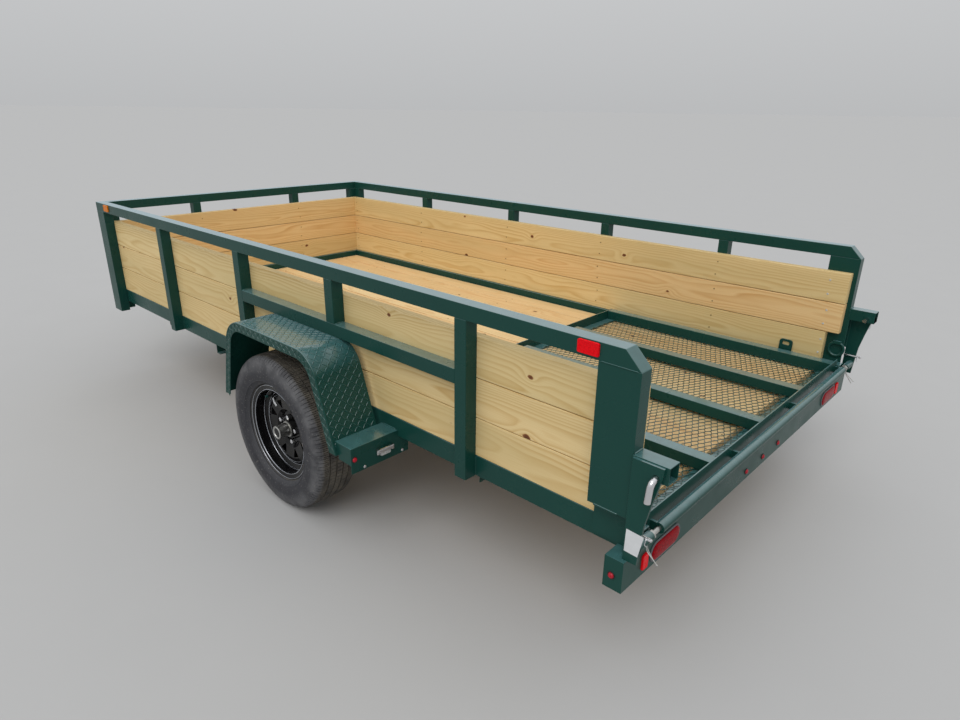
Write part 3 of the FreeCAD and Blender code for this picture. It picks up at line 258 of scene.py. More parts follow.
def black_paint(name, rough, dusty, shine):
    """Black enamel with a faint dust film."""
    look = Look(name, Specular_IOR_Level=shine)
    place = look.place()
    dust = look.ranged(look.noise(place, 18.0, 6.0), 0.4, 0.85, 0.0, dusty)
    return look.finish(
        Base_Color=look.mix(dust, linear(14, 14, 15), linear(96, 94, 90)),
        Roughness=look.ranged(look.noise(place, 30.0, 3.0), 0.3, 0.7, rough, rough + 0.12),
        Normal=look.bump(look.noise(place, 500.0), 0.00008, 0.4))


# Half the tread's width, for the rubber's dusty band, and that band's soft edge
TREAD_HALF = 0.079
TREAD_FADE = 0.012


def tyre_rubber():
    """Grey-black rubber: cool flanks with a pale scuffed shoulder, and a dusty brown tread."""
    look = Look("tyre_rubber_look", Specular_IOR_Level=0.35)
    place = look.place()
    parts = look.split(place)
    radius = look.distance(*[look.calc("SUBTRACT", parts[axis], from_axle)
                             for axis, from_axle in (("X", WHEEL.x), ("Z", WHEEL.z))])
    cloud = look.noise(place, 22.0, 6.0)
    dust = look.ranged(cloud, 0.35, 0.8, 0.04, 0.36)
    flank = look.mix(dust, linear(42, 42, 47), linear(88, 89, 94))
    scuff = look.times(look.ranged(radius, 0.262, 0.306), look.ranged(cloud, 0.35, 0.65, 0.25, 0.9))
    worn = look.mix(scuff, flank, linear(104, 104, 106))
    specks = look.ranged(look.noise(place, 130.0, 3.0), 0.60, 0.72, 0.0, 0.5)
    specked = look.mix(specks, worn, linear(128, 126, 122))
    beaded = look.mix(look.ranged(radius, 0.236, 0.212, 0.0, 0.35), specked, linear(96, 97, 100))
    road = look.mix(look.ranged(cloud, 0.3, 0.75), linear(60, 58, 56), linear(112, 106, 96))
    edge = WHEEL.y + TREAD_HALF
    tread = look.ranged(look.calc("ABSOLUTE", parts["Y"]), edge, edge - TREAD_FADE)
    return look.finish(
        Base_Color=look.mix(tread, beaded, road),
        Roughness=look.ranged(dust, 0.0, 0.4, 0.50, 0.80),
        Normal=look.bump(look.noise(place, 700.0, 3.0), 0.00015, 0.6))


def lens(name, colour, deep, shine=0.10):
    """Moulded lamp lens with small prisms behind its face."""
    look = Look(name, Roughness=0.24, Specular_IOR_Level=shine)
    prisms = look.add("TexVoronoi", {"Vector": look.place(), "Scale": 240.0}).outputs["Distance"]
    return look.finish(Base_Color=look.mix(prisms, colour, deep), Normal=look.bump(prisms, 0.0008, 0.35))


def plain(name, colour, rough):
    """Moulded rubber or a blank label, with a fine surface."""
    look = Look(name, Roughness=rough)
    place = look.place()
    dim = tuple(value * 0.82 for value in colour[:3]) + (1.0,)
    return look.finish(
        Base_Color=look.mix(look.noise(place, 40.0, 4.0), colour, dim),
        Normal=look.bump(look.noise(place, 800.0), 0.00005, 0.4))


GREEN = powder_coat("green_powder_coat", 0.13, 0.19, 1.0)
MESH_GREEN = powder_coat("green_mesh_coat", 0.03, 0.07, 0.15)
SIDE_PINE = pine("side_board_pine", linear(236, 211, 156), linear(208, 172, 108), 0.45)
DECK_PINE = pine("deck_board_pine", linear(241, 217, 166), linear(222, 186, 130), 0.25)
BLACK = black_paint("black_steel_paint", 0.34, 0.16, 0.5)
RIM_BLACK = black_paint("black_rim_enamel", 0.12, 0.03, 0.28)
# Bright metal for the rings on the rim's edges: a painted highlight on the black enamel rim
RIM_HIGHLIGHT = metal("rim_edge_painted_highlight", linear(186, 189, 196), 0.20, 1.0)
RUBBER = tyre_rubber()
ZINC = metal("zinc_plate", linear(196, 196, 192), 0.34, 1.0)
SILVER = metal("bright_screw_plate", linear(216, 216, 214), 0.40, 0.35)
TAN_ZINC = metal("yellow_zinc_plate", linear(168, 140, 96), 0.42, 0.8)
CHROME = metal("bright_chrome", linear(222, 222, 224), 0.14, 1.0, 0.03)
RED = lens("red_lens_look", linear(176, 6, 24), linear(104, 1, 10), 0.05)
MARKER_RED = lens("red_marker_look", linear(196, 34, 52), linear(150, 10, 26), 0.30)
BRIGHT_RED = lens("bright_red_reflector", linear(250, 16, 30), linear(214, 6, 16))
AMBER = lens("amber_lens_look", linear(236, 140, 16), linear(190, 92, 6))
CLEAR = lens("clear_lamp_lens", linear(214, 216, 214), linear(150, 152, 150))
GREY_RUBBER = plain("grey_rubber_look", linear(104, 104, 108), 0.6)
BLACK_RUBBER = plain("black_rubber_look", linear(24, 24, 25), 0.55)
WHITE = plain("white_label_film", linear(226, 228, 230), 0.38)


def linked(name, data):
    """A new object for data, in the scene."""
    made = bpy.data.objects.new(name, data)
    bpy.context.scene.collection.objects.link(made)
    return made


def dress(name, mesh, material, body, replaced, sharp):
    """Gives a mesh its material and normals, smooth up to the sharp angle, its body and nodes."""
    mesh.materials.clear()
    mesh.materials.append(material)
    mesh.polygons.foreach_set("use_smooth", [True] * len(mesh.polygons))
    mesh.set_sharp_from_angle(angle=radians(sharp))
    piece = linked(name, mesh)
    weigh = piece.modifiers.new("weighted_normals", "WEIGHTED_NORMAL")
    weigh.keep_sharp = True
    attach(piece, body)
    if replaced:
        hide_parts(*replaced)
    return piece


def frame_of(axis):
    """A unit axis and two directions square to it."""
    along = Vector(axis).normalized()
    across = along.cross(Vector((0, 0, 1)))
    if across.length < 0.01:
        across = Vector((1, 0, 0))
    across.normalize()
    return along, across, along.cross(across)


def spoke(turn):
    """A direction in a wheel's plane, turned from +X towards +Z."""
    return Vector((cos(turn), 0, sin(turn)))


# Steps of a bent bar's corner, of the fender's bend, and points round a lamp
BAR_STEPS, BEND_STEPS, OVAL_POINTS = 6, 14, 48


def rounded_path(points, bend):
    """A line whose inner corners are curves that start at the given distance from the corner."""
    points = [Vector(p) for p in points]
    path = [points[0]]
    for before, corner, after in zip(points, points[1:], points[2:]):
        first = corner + (before - corner).normalized() * min(bend, (before - corner).length / 2)
        last = corner + (after - corner).normalized() * min(bend, (after - corner).length / 2)
        for k in range(BAR_STEPS + 1):
            t = k / BAR_STEPS
            path.append(first * (1 - t) ** 2 + corner * 2 * t * (1 - t) + last * t ** 2)
    path.append(points[-1])
    return path


def tube_rings(path, sizes, sides):
    """Rings round a path that don't twist, with a radius for each point."""
    rings = []
    across = frame_of(path[1] - path[0])[1]
    for i, (point, size) in enumerate(zip(path, sizes)):
        along = (path[min(i + 1, len(path) - 1)] - path[max(i - 1, 0)]).normalized()
        across = (across - along * across.dot(along)).normalized()
        up = along.cross(across)
        rings.append([point + (across * cos(tau * k / sides) + up * sin(tau * k / sides)) * size
                      for k in range(sides)])
    return rings


# A weld bead's usual radius, and the pitch of its ripples
WELD = 0.0028
WELD_PITCH = 0.0035


class Solid:
    """Vertices and faces of several small solids that end up in one piece."""

    def __init__(self):
        self.vertices = []
        self.faces = []

    def rings(self, rings, closed=False):
        """Joins rings of as many points each, in order; without closed, both ends get a cap."""
        count = len(rings[0])
        start = len(self.vertices)
        for ring in rings:
            self.vertices += [Vector(v) for v in ring]
        last = len(rings) if closed else len(rings) - 1
        for i in range(last):
            here, there = start + i * count, start + (i + 1) % len(rings) * count
            for k in range(count):
                after = (k + 1) % count
                self.faces.append([here + k, here + after, there + after, there + k])
        if not closed:
            self.faces.append([start + k for k in reversed(range(count))])
            self.faces.append([start + (len(rings) - 1) * count + k for k in range(count)])

    def weld(self, start, end, radius):
        """A weld bead with the ripples of its passes."""
        start, end = Vector(start), Vector(end)
        steps = max(int((end - start).length / WELD_PITCH), 4)
        path = [start.lerp(end, k / steps) for k in range(steps + 1)]
        sizes = [radius * (1 + 0.22 * (k % 2) + random.uniform(-0.06, 0.06)) for k in range(steps + 1)]
        sizes[0] = sizes[-1] = radius * 0.5
        self.rings(tube_rings(path, sizes, 6))

    def box(self, low, high, edge):
        """A block with chamfered edges."""
        block = bmesh.new()
        bmesh.ops.create_cube(block, size=1.0)
        for vertex in block.verts:
            vertex.co = [low[i] + (vertex.co[i] + 0.5) * (high[i] - low[i]) for i in range(3)]
        bmesh.ops.bevel(block, geom=block.edges[:], offset=edge, segments=2, profile=0.5, affect="EDGES")
        block.verts.index_update()
        start = len(self.vertices)
        self.vertices += [vertex.co.copy() for vertex in block.verts]
        self.faces += [[start + vertex.index for vertex in face.verts] for face in block.faces]
        block.free()

    def turn(self, centre, axis, profile, steps, begin=0.0):
        """Turns (along, radius) round an axis; radius 0 closes an end."""
        along, across, up = frame_of(axis)
        turns = [begin + tau * k / steps for k in range(steps)]
        rings = []
        for place, radius in profile:
            foot = Vector(centre) + along * place
            size = max(radius, 1e-5)
            rings.append([foot + (across * cos(turn) + up * sin(turn)) * size for turn in turns])
        self.rings(rings)

    def hoop(self, centre, axis, radius, wire, count, sides):
        """A ring of round wire about an axis across the trailer."""
        rings = []
        for k in range(count):
            outward = spoke(tau * k / count)
            rings.append([centre + outward * (radius + wire * cos(tau * m / sides))
                          + axis * wire * sin(tau * m / sides) for m in range(sides)])
        self.rings(rings, closed=True)

    def rod(self, points, radius, sides, bend):
        """A round bar along points, with its corners bent."""
        path = rounded_path(points, bend)
        self.rings(tube_rings(path, [radius] * len(path), sides))

    def piece(self, name, material, body=BED, replaced=(), sharp=30.0, slot=None):
        """Makes one piece of all that was added."""
        mesh = bpy.data.meshes.new(name)
        mesh.from_pydata(self.vertices, [], self.faces)
        return dress(name, mesh, material, body, replaced, sharp)


def merged(node):
    """A CAD node's mesh with its shared corners joined."""
    mesh = bmesh.new()
    mesh.from_mesh(frame["nodes"][node].data)
    bmesh.ops.remove_doubles(mesh, verts=mesh.verts, dist=0.00001)
    return mesh


def rolled(node, radius, material, shortest, segments):
    """Stands for a node with the corners of its tubes and plates rounded, as rolled steel has them."""
    mesh = merged(node)
    bmesh.ops.dissolve_limit(mesh, angle_limit=radians(0.6), verts=mesh.verts, edges=mesh.edges)
    edges = [edge for edge in mesh.edges if edge.is_manifold and edge.is_convex
             and edge.calc_face_angle() > radians(40) and edge.calc_length() > shortest]
    bmesh.ops.bevel(mesh, geom=edges, offset=radius, segments=segments, profile=0.5, affect="EDGES",
                    clamp_overlap=True)
    made = bpy.data.meshes.new(node + "_rolled")
    mesh.to_mesh(made)
    mesh.free()
    dress(node + "_rolled", made, material, frame["nodes"][node]["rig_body"], (node,), 30.0)


def islands(node):
    """Low and high corners of each separate solid of a node."""
    mesh = merged(node)
    left = set(mesh.verts)
    boxes = []
    while left:
        stack = [left.pop()]
        low, high = stack[0].co.copy(), stack[0].co.copy()
        while stack:
            vertex = stack.pop()
            low = Vector(map(min, low, vertex.co))
            high = Vector(map(max, high, vertex.co))
            for edge in vertex.link_edges:
                other = edge.other_vert(vertex)
                if other in left:
                    left.remove(other)
                    stack.append(other)
        boxes.append((low, high))
    mesh.free()
    return sorted(boxes, key=lambda box: tuple(round(v, 4) for v in box[0]))


def middles(node, axis):
    """The middle of each separate solid of a node, along an axis."""
    return [(low[axis] + high[axis]) / 2 for low, high in islands(node)]


# A rectangle's corners: whether each is on the high side in two directions, and the quarter turn it starts at
CORNERS = ((1, 1, 0), (0, 1, 1), (0, 0, 2), (1, 0, 3))


def round_corners(lows, highs, radius, steps, inset=0.0):
    """Points round a rectangle with round corners, drawn in by an inset."""
    points = []
    for a, b, start in CORNERS:
        for step in range(steps + 1):
            turn = (start + step / steps) * tau / 4
            u = (highs[0] - radius if a else lows[0] + radius) + (radius - inset) * cos(turn)
            v = (highs[1] - radius if b else lows[1] + radius) + (radius - inset) * sin(turn)
            points.append((u, v))
    return points


def on_axes(axes, values):
    """A point from its values on three numbered axes."""
    point = Vector((0, 0, 0))
    for axis, value in zip(axes, values):
        point[axis] = value
    return point


# Rolled steel members: corner radius, nodes
MEMBERS = (
    (0.0045, "side_rails front_rail"), (0.0030, "rear_crossmember"), (0.0012, "cross_members"),
    (0.0020, "tongue_rails"), (0.0012, "front_cross_member"), (0.0020, "tongue_crossbar"),
    (0.0050, "left_top_rail right_top_rail front_top_rail left_posts right_posts front_posts"),
    (0.0050, "mid_rails front_corner_posts rear_corner_posts"), (0.0010, "spring_hangers"),
    (0.0015, "left_step_box right_step_box"), (0.0045, "latch_stubs gate_bars"),
    (0.0014, "left_fender right_fender"),
)


def steel_members():
    for radius, nodes in MEMBERS:
        for node in nodes.split():
            rolled(node, radius, GREEN, 0.04, 3)
    for node in ("coupler", "coupler_latch"):
        rolled(node, 0.0018, BLACK, 0.008, 2)


# The gate's angles: wall, how far the lower legs end inside the frame's sides, and the corner radii
ANGLE_WALL = 0.0032
ANGLE_INSET = 0.002
ANGLE_EDGE, LEG_EDGE, TUBE_EDGE = 0.0012, 0.0008, 0.0045


def gate_frame():
    """Side tubes, the angle at the hinges and the angle at the free end, whose leg stands at the very end."""
    low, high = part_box("gate_frame")
    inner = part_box("gate_mesh")[1].y
    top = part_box("gate_bars")[1].z
    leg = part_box("gate_mesh")[0].x - low.x
    inset, floor = high.y - ANGLE_INSET, low.z + ANGLE_WALL
    solid = Solid()
    for sign in SIGNS:
        near, far = sorted((sign * inner, sign * high.y))
        solid.box((low.x + leg, near, low.z), (high.x - leg, far, top), TUBE_EDGE)
    for first, last, sides, height, edge in (
            (low.x, low.x + leg, high.y, high.z, ANGLE_EDGE),
            (low.x + leg, low.x + high.z - low.z, inset, floor, LEG_EDGE),
            (high.x - leg, high.x, high.y, top, ANGLE_EDGE),
            (high.x - high.y + inner, high.x - leg, inset, floor, LEG_EDGE)):
        solid.box((first, -sides, low.z), (last, sides, height), edge)
    solid.piece("gate_frame_rolled", GREEN, GATE, ("gate_frame",))


# Reflectors: corner radius, and sections from foot to face as (inset, share of the thickness)
REFLECTOR_CORNER = 0.0055
REFLECTOR_LAYERS = ((0.0, 0.0), (0.0, 0.7), (0.0010, 0.95), (0.0022, 1.0), (0.0030, 0.9))


def reflectors():
    """Reflectors with round corners and a raised rim."""
    for node, material in (("red_reflectors", BRIGHT_RED), ("amber_reflectors", AMBER)):
        solid = Solid()
        for low, high in islands(node):
            extent = high - low
            thin = min(range(3), key=lambda axis: extent[axis])
            a, b = [axis for axis in range(3) if axis != thin]
            faces_up = thin != 0 and low.y > 0
            foot, face = (low[thin], high[thin]) if faces_up else (high[thin], low[thin])
            rings = []
            for inset, share in REFLECTOR_LAYERS:
                outline = round_corners((low[a], low[b]), (high[a], high[b]), REFLECTOR_CORNER, 4, inset)
                place = foot + (face - foot) * share
                rings.append([on_axes((a, b, thin), (u, v, place)) for u, v in outline])
            solid.rings(rings)
        solid.piece(node + "_moulded", material, BED, (node,), 40.0)


# Wooden pieces: node, across axis, thickness axis, length axis, material, warmth of each board
TIMBER = (
    ("left_boards", 2, 1, 0, SIDE_PINE, (0.10, 0.02, 0.14)),
    ("right_boards", 2, 1, 0, SIDE_PINE, (0.55, 0.10, 0.04)),
    ("front_boards", 2, 0, 1, SIDE_PINE, (0.30, 0.45, 0.35)),
    ("deck_boards", 1, 2, 0, DECK_PINE, (0.35, 0.6, 0.2, 0.5, 0.3, 0.7)),
)
BOARD_EDGE = 0.0030
BOARD_SEAM = 0.0011
BOARD_STEPS = 24
# How much shorter the deck's rear end is sawn
DECK_SAW = 0.016


def board_rings(low, high, across, through, along):
    """Rounded sections along a board, a little narrower than its room so that a seam stays open."""
    rings = []
    lows = (low[across] + BOARD_SEAM, low[through])
    highs = (high[across] - BOARD_SEAM, high[through])
    for k in range(BOARD_STEPS + 1):
        place = low[along] + (high[along] - low[along]) * k / BOARD_STEPS
        wane = BOARD_EDGE * (1 + 0.3 * sin(5.1 * place + low[across] * 31))
        rings.append([on_axes((along, across, through), (place, a, b))
                      for a, b in round_corners(lows, highs, wane, 3)])
    return rings


def timber():
    """Boards with eased edges; each carries its own grain place and tone."""
    for node, across, through, along, material, tones in TIMBER:
        solid = Solid()
        grain, warmth = [], []
        for n, (low, high) in enumerate(islands(node)):
            first = len(solid.vertices)
            low.x += DECK_SAW if node == "deck_boards" else 0.0
            solid.rings(board_rings(low, high, across, through, along))
            centre = (low + high) / 2
            pith = Vector((random.uniform(0, 60), random.uniform(-0.04, 0.04), random.uniform(-0.11, -0.05)))
            lean = (random.uniform(-0.006, 0.006), random.uniform(-0.010, 0.010))
            for vertex in solid.vertices[first:]:
                here = vertex - centre
                grain.append((here[along] + pith.x, here[across] - pith.y + lean[0] * here[along],
                              here[through] - pith.z + lean[1] * here[along]))
                warmth.append(tones[n % len(tones)])
        piece = solid.piece(node + "_sawn", material, BED, (node,), 50.0)
        field = piece.data.attributes.new("grain", "FLOAT_VECTOR", "POINT")
        field.data.foreach_set("vector", [value for point in grain for value in point])
        field = piece.data.attributes.new("warmth", "FLOAT", "POINT")
        field.data.foreach_set("value", warmth)


# Pan head of a screw: height, share of the head's radius
SCREW_HEAD = ((0.0, 1.0), (0.0012, 1.0), (0.0022, 0.82), (0.0025, 0.46), (0.0012, 0.38), (0.0011, 0.0))
SCREW_SUNK = 0.0005
# Screw columns from the rear and front faces, shares of a board's width, and how far a hand strays
REAR_SCREWS, FRONT_SCREWS = 0.113, 0.066
BOARD_SHARES, DECK_SHARES = (0.26, 0.72), (0.22, 0.78)
STRAY = 0.006
# Head radii: at the rear posts, elsewhere on the sides, and on the deck
REAR_HEAD, SIDE_HEAD, DECK_HEAD = 0.0048, 0.0036, 0.0038
DECK_END = 0.034
DECK_SUNK = 0.0004


def screw(solid, at, out, radius):
    """A pan head screw with a recess in its head."""
    profile = [(place, radius * share) for place, share in SCREW_HEAD]
    solid.turn(Vector(at) - Vector(out) * SCREW_SUNK, out, profile, 10)


def board_screws():
    """Screws through the boards into each post, and through the deck into each cross-member."""
    bright, dull = Solid(), Solid()
    boards = islands("left_boards")
    height = boards[0][1].z - boards[0][0].z
    first = REAR + REAR_SCREWS
    posts = middles("left_posts", 0) + [FRONT - FRONT_SCREWS]
    for low, high in boards:
        for column in [first] + posts:
            solid, radius = (bright, REAR_HEAD) if column == first else (dull, SIDE_HEAD)
            for share in BOARD_SHARES:
                x = column + random.uniform(-STRAY, STRAY)
                for sign in SIGNS:
                    screw(solid, (x, sign * boards[0][0].y, low.z + height * share), (0, -sign, 0), radius)
    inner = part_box("front_boards")[0].x
    for low, high in islands("front_boards"):
        for column in middles("front_posts", 1):
            for share in BOARD_SHARES:
                y = column + random.uniform(-STRAY, STRAY)
                screw(dull, (inner, y, low.z + height * share), (-1, 0, 0), SIDE_HEAD)
    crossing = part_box("front_cross_member")
    for low, high in islands("deck_boards"):
        for column in middles("cross_members", 0) + [(crossing[0].x + crossing[1].x) / 2]:
            for share in DECK_SHARES:
                x = max(column, low.x + DECK_END) + random.uniform(-STRAY, STRAY)
                screw(dull, (x, low.y + (high.y - low.y) * share, high.z - DECK_SUNK), (0, 0, 1), DECK_HEAD)
    bright.piece("board_screws_rear", SILVER)
    dull.piece("board_screws", TAN_ZINC)


# Flattened expanded metal of the gate: the diamonds' long way runs across the trailer
DIAMOND_LONG = 0.0535
DIAMOND_SHORT = 0.0248
STRAND = 0.0031
BOND = 0.0035
# Where the strands lie in the sheet's thickness, and a strand's section: side, height
STRAND_HIGH, STRAND_LOW = 0.62, 0.40
STRAND_SECTION = ((-1, -0.0010), (-1, 0.0008), (1, 0.0012), (1, -0.0006))


def gate_mesh():
    """Expanded metal: rows of zigzag strands that touch at their bonds."""
    low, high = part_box("gate_mesh")
    solid = Solid()
    rows = int((high.x - low.x) / (DIAMOND_SHORT / 2))
    steps = int((high.y - low.y) / (DIAMOND_LONG / 2))
    half_short = (high.x - low.x) / rows
    half_long = (high.y - low.y) / steps
    half_strand = STRAND / 2
    for row in range(rows):
        rings = []
        for k in range(steps + 1):
            up = (k + row) % 2
            x = min(max(low.x + (row + up) * half_short, low.x + half_strand), high.x - half_strand)
            z = low.z + (high.z - low.z) * (STRAND_HIGH if up == row % 2 else STRAND_LOW)
            for end in (-BOND, BOND):
                y = min(max(low.y + k * half_long + end, low.y), high.y)
                rings.append([(x + side * half_strand, y, z + lift) for side, lift in STRAND_SECTION])
        solid.rings(rings)
    solid.piece("gate_expanded_metal", MESH_GREEN, GATE, ("gate_mesh",), 60.0)


# Tyre section on its outer half: place outward from the middle plane, radius
SIDE_WALL = mm(
    (64, 191), (67, 210), (70.5, 213.5), (76, 216), (80, 215), (85.5, 221.5), (94, 230),
    (96.8, 231.2), (97.5, 234.5), (96.8, 236.2), (100.4, 248), (102.5, 263.5), (102, 276),
    (100.3, 280), (100.5, 281.6), (99.6, 293), (97.2, 304), (94, 311.5))
SHOULDER = mm((89.5, 320.5), (84.8, 326.5), (79, 330.5), (72.2, 333.5))
TREAD_RIBS = mm((70, 48), (42, 18), (12, 0))
# Radius of the crown and what it loses at the tread's edge, radius and half width of the beads
CROWN, CROWN_DROP, TREAD_EDGE = 0.338, 0.0035, 0.07
BEAD, BEAD_HALF = 0.191, 0.045
# Depths: grooves round the tyre, cuts in the shoulder, sipes in the ribs; the cuts reach in to a place
GROOVE, SHOULDER_CUT, SIPE, CUT_REACH = 0.0075, 0.0034, 0.0030, 0.058
GROOVE_WALLS = (0.0012, 0.0048)
# Around the tyre, a pitch: its share, whether in the shoulder's cut, whether in a rib's sipe
PITCHES = 124
PITCH_COLUMNS = (
    (0.0, 0, 0), (0.36, 0, 0), (0.41, 0, 1), (0.48, 0, 1),
    (0.53, 0, 0), (0.80, 0, 0), (0.84, 1, 0), (0.96, 1, 0))


def tyre(side, centre, out):
    """Tyre with circumferential grooves, shoulder blocks and fine sipes on its ribs."""
    # place outward, radius, depth of the shoulder's cuts, depth of the ribs' sipes
    section = [(y, radius, 0.0, 0.0) for y, radius in SIDE_WALL]
    section += [(y, radius, SHOULDER_CUT, 0.0) for y, radius in SHOULDER]
    for low, high in TREAD_RIBS:
        edges = [(low, 0.0), ((low + high) / 2, 0.0)]
        if high > 0:
            edges += [(high, 0.0)] + [(high - wall, GROOVE) for wall in GROOVE_WALLS]
        for y, groove in edges:
            arch = CROWN - CROWN_DROP * (y / TREAD_EDGE) ** 2
            cut = SHOULDER_CUT if y > CUT_REACH else 0.0
            section.append((y, arch - groove, cut, 0.0 if groove else SIPE))
    mirrored = [(-y, radius, a, b) for y, radius, a, b in section]
    ring = mirrored + [(0.0, CROWN, 0.0, SIPE)] + list(reversed(section))
    ring += [(BEAD_HALF, BEAD, 0.0, 0.0), (-BEAD_HALF, BEAD, 0.0, 0.0)]
    solid = Solid()
    rings = []
    for pitch in range(PITCHES):
        for share, cut, sipe in PITCH_COLUMNS:
            outward = spoke(tau * (pitch + share) / PITCHES)
            rings.append([centre + out * y + outward * (radius - a * cut - b * sipe)
                          for y, radius, a, b in ring])
    solid.rings(rings, closed=True)
    solid.piece(side + "_tyre_tread", RUBBER, side + "_wheel", (side + "_tyre",), 28.0)


# Lug nuts: bolt circle radius, first nut's angle from +X towards +Z, and where the disc's face lies
BOLT_CIRCLE = 0.05715
FIRST_NUT = radians(28)
DISC_FACE = 0.0045
# Turned parts of a wheel, outward from its middle plane or foot: place, radius
LUG_NUT = mm((0, 12.2), (20, 12.2), (25, 10.4), (27.5, 6), (28, 0))
DUST_CAP = mm(
    (26.5, 34), (29, 34), (29.5, 29.6), (75, 29.4), (78.5, 28.7), (80, 26.8), (80, 22.5),
    (78.5, 20.8), (76.4, 20), (76.2, 0))
CAP_PLUG = mm((76, 19.7), (77.4, 19.7), (78.4, 16), (78.8, 0))
VALVE_STEM = mm((0, 8), (8, 7.2), (12, 4.8), (26, 4.4), (27, 0))
VALVE_CAP = mm((26.2, 4), (26.8, 5.6), (36, 5.2), (37.2, 4), (37.4, 0))
# Bright metal rings on the rim's edges, painted highlights on the black rim: place outward, radius, thickness
RIM_RINGS = mm((72.2, 207, 1.9), (69, 187.4, 2.2), (28, 183.8, 2.2), (17, 163.6, 1.8), (24, 150.3, 1))
# The valve's foot: radius, place outward, and how much it points out and away from the axle
VALVE_RADIUS, VALVE_PLACE = 0.1640, 0.012
VALVE_OUT, VALVE_LEAN = 0.95, 0.12
# Angle of the valve and of the label beside it, from +X towards +Z
VALVE_TURN = radians(45)
LABEL_TURN = radians(48)
# The label: half its width, its film's lift and thickness, and its line: radius, height of the disc's face
LABEL_HALF, LABEL_LIFT, LABEL_FILM = 0.0065, 0.0008, 0.0006
LABEL_LINE = mm((112, 25.6), (132.5, 28.2), (142, 26.2), (150, 24.4))


def turned(name, material, body, foot, axis, profile, steps):
    """A turned part as a piece of its own."""
    solid = Solid()
    solid.turn(foot, axis, profile, steps)
    solid.piece(name, material, body)


def wheel(side, sign):
    """Tyre, lug nuts, dust cap, rim rings and valve of one wheel."""
    body = side + "_wheel"
    centre = Vector((WHEEL.x, sign * WHEEL.y, WHEEL.z))
    out = Vector((0, sign, 0))
    tyre(side, centre, out)

    nuts = Solid()
    for n in range(5):
        foot = centre + spoke(FIRST_NUT + tau * n / 5) * BOLT_CIRCLE + out * DISC_FACE
        nuts.turn(foot, out, LUG_NUT, 6)
    nuts.piece(side + "_lug_nuts", CHROME, body, sharp=25.0)
    turned(side + "_dust_cap", ZINC, body, centre, out, DUST_CAP, 40)
    turned(side + "_cap_plug", BLACK_RUBBER, body, centre, out, CAP_PLUG, 28)

    # Bright rings on the rim's edges: painted highlights
    rings = Solid()
    for place, radius, wire in RIM_RINGS:
        rings.hoop(centre + out * place, out, radius, wire, 96, 8)
    rings.piece(side + "_rim_highlight_beads", RIM_HIGHLIGHT, body, sharp=40.0)

    foot = centre + spoke(VALVE_TURN) * VALVE_RADIUS + out * VALVE_PLACE
    lean = (out * VALVE_OUT + (foot - centre).normalized() * VALVE_LEAN).normalized()
    turned(side + "_valve", BLACK_RUBBER, body, foot, lean, VALVE_STEM, 16)
    turned(side + "_valve_cap", GREEN, body, foot, lean, VALVE_CAP, 16)
    if side == "left":
        blank_label(centre, out)


def blank_label(centre, out):
    """A small plain film patch on the disc's bulge."""
    outward, aside = spoke(LABEL_TURN), spoke(LABEL_TURN + tau / 4)
    under = LABEL_LIFT - LABEL_FILM
    corners = ((-LABEL_HALF, LABEL_LIFT), (LABEL_HALF, LABEL_LIFT), (LABEL_HALF, under), (-LABEL_HALF, under))
    solid = Solid()
    solid.rings([[centre + outward * radius + out * (height + lift) + aside * shift
                  for shift, lift in corners] for radius, height in LABEL_LINE])
    solid.piece("wheel_label", WHITE, "left_wheel", sharp=40.0, slot="black_rim")


# The fender's outline from the rear face and the ground, its bend radius, and the middle of its length
FENDER_LINE = mm((1931, 432), (1837, 793.8), (1230, 793.8), (1105, 432))
FENDER_BEND = 0.130
FENDER_MIDDLE = 1.55
# Tread plate: pitch, bare edge, rows on the lip as depths below the top, and the lip's rolled corner
LOZENGE_PITCH = 0.0190
LOZENGE_BARE = 0.008
LIP_ROWS = (0.0110, 0.0290)
LIP_INSET, LIP_ROLL = 0.0030, 0.0042
LIP_STEPS = 100
# A lozenge: its outline, then its sections as (lift, half length, half width)
LOZENGE = ((1.0, 0.0), (0.45, 0.92), (-0.45, 0.92), (-1.0, 0.0), (-0.45, -0.92), (0.45, -0.92))
LOZENGE_LAYERS = mm((-0.3, 12, 2.7), (0.9, 10.2, 1.7), (1.3, 7, 0.6))


def bent_line(corners, radius):
    """Points along a line in the XZ plane whose corners are round, and the length so far at each."""
    points = [Vector((x, 0, z)) for x, z in corners]
    path = [points[0]]
    for before, corner, after in zip(points, points[1:], points[2:]):
        one, two = (before - corner).normalized(), (after - corner).normalized()
        half = one.angle(two) / 2
        middle = corner + (one + two).normalized() * (radius / sin(half))
        first = corner + one * (radius / tan(half)) - middle
        last = corner + two * (radius / tan(half)) - middle
        for k in range(BEND_STEPS + 1):
            path.append(middle + first.slerp(last, k / BEND_STEPS).normalized() * radius)
    path.append(points[-1])
    lengths = [0.0]
    for first, second in zip(path, path[1:]):
        lengths.append(lengths[-1] + (second - first).length)
    return path, lengths


def at_length(path, lengths, place):
    """The point, direction and outward side at a length along the fender's line."""
    i = next((n for n in range(1, len(path)) if lengths[n] >= place), len(path) - 1)
    share = (place - lengths[i - 1]) / (lengths[i] - lengths[i - 1])
    point, along = path[i - 1].lerp(path[i], share), (path[i] - path[i - 1]).normalized()
    out = Vector((-along.z, 0, along.x))
    is_outward = out.z > 0 or abs(out.z) < 0.9 and out.x * (point.x - FENDER_MIDDLE) > 0
    return point, along, out if is_outward else -out


def lozenge(solid, at, along, across, out, slant):
    """One raised bar of tread plate, pressed up from the sheet."""
    long_way = (along + across * slant).normalized()
    short_way = out.cross(long_way)
    solid.rings([[at + out * lift + long_way * a * length + short_way * b * width for a, b in LOZENGE]
                 for lift, length, width in LOZENGE_LAYERS])


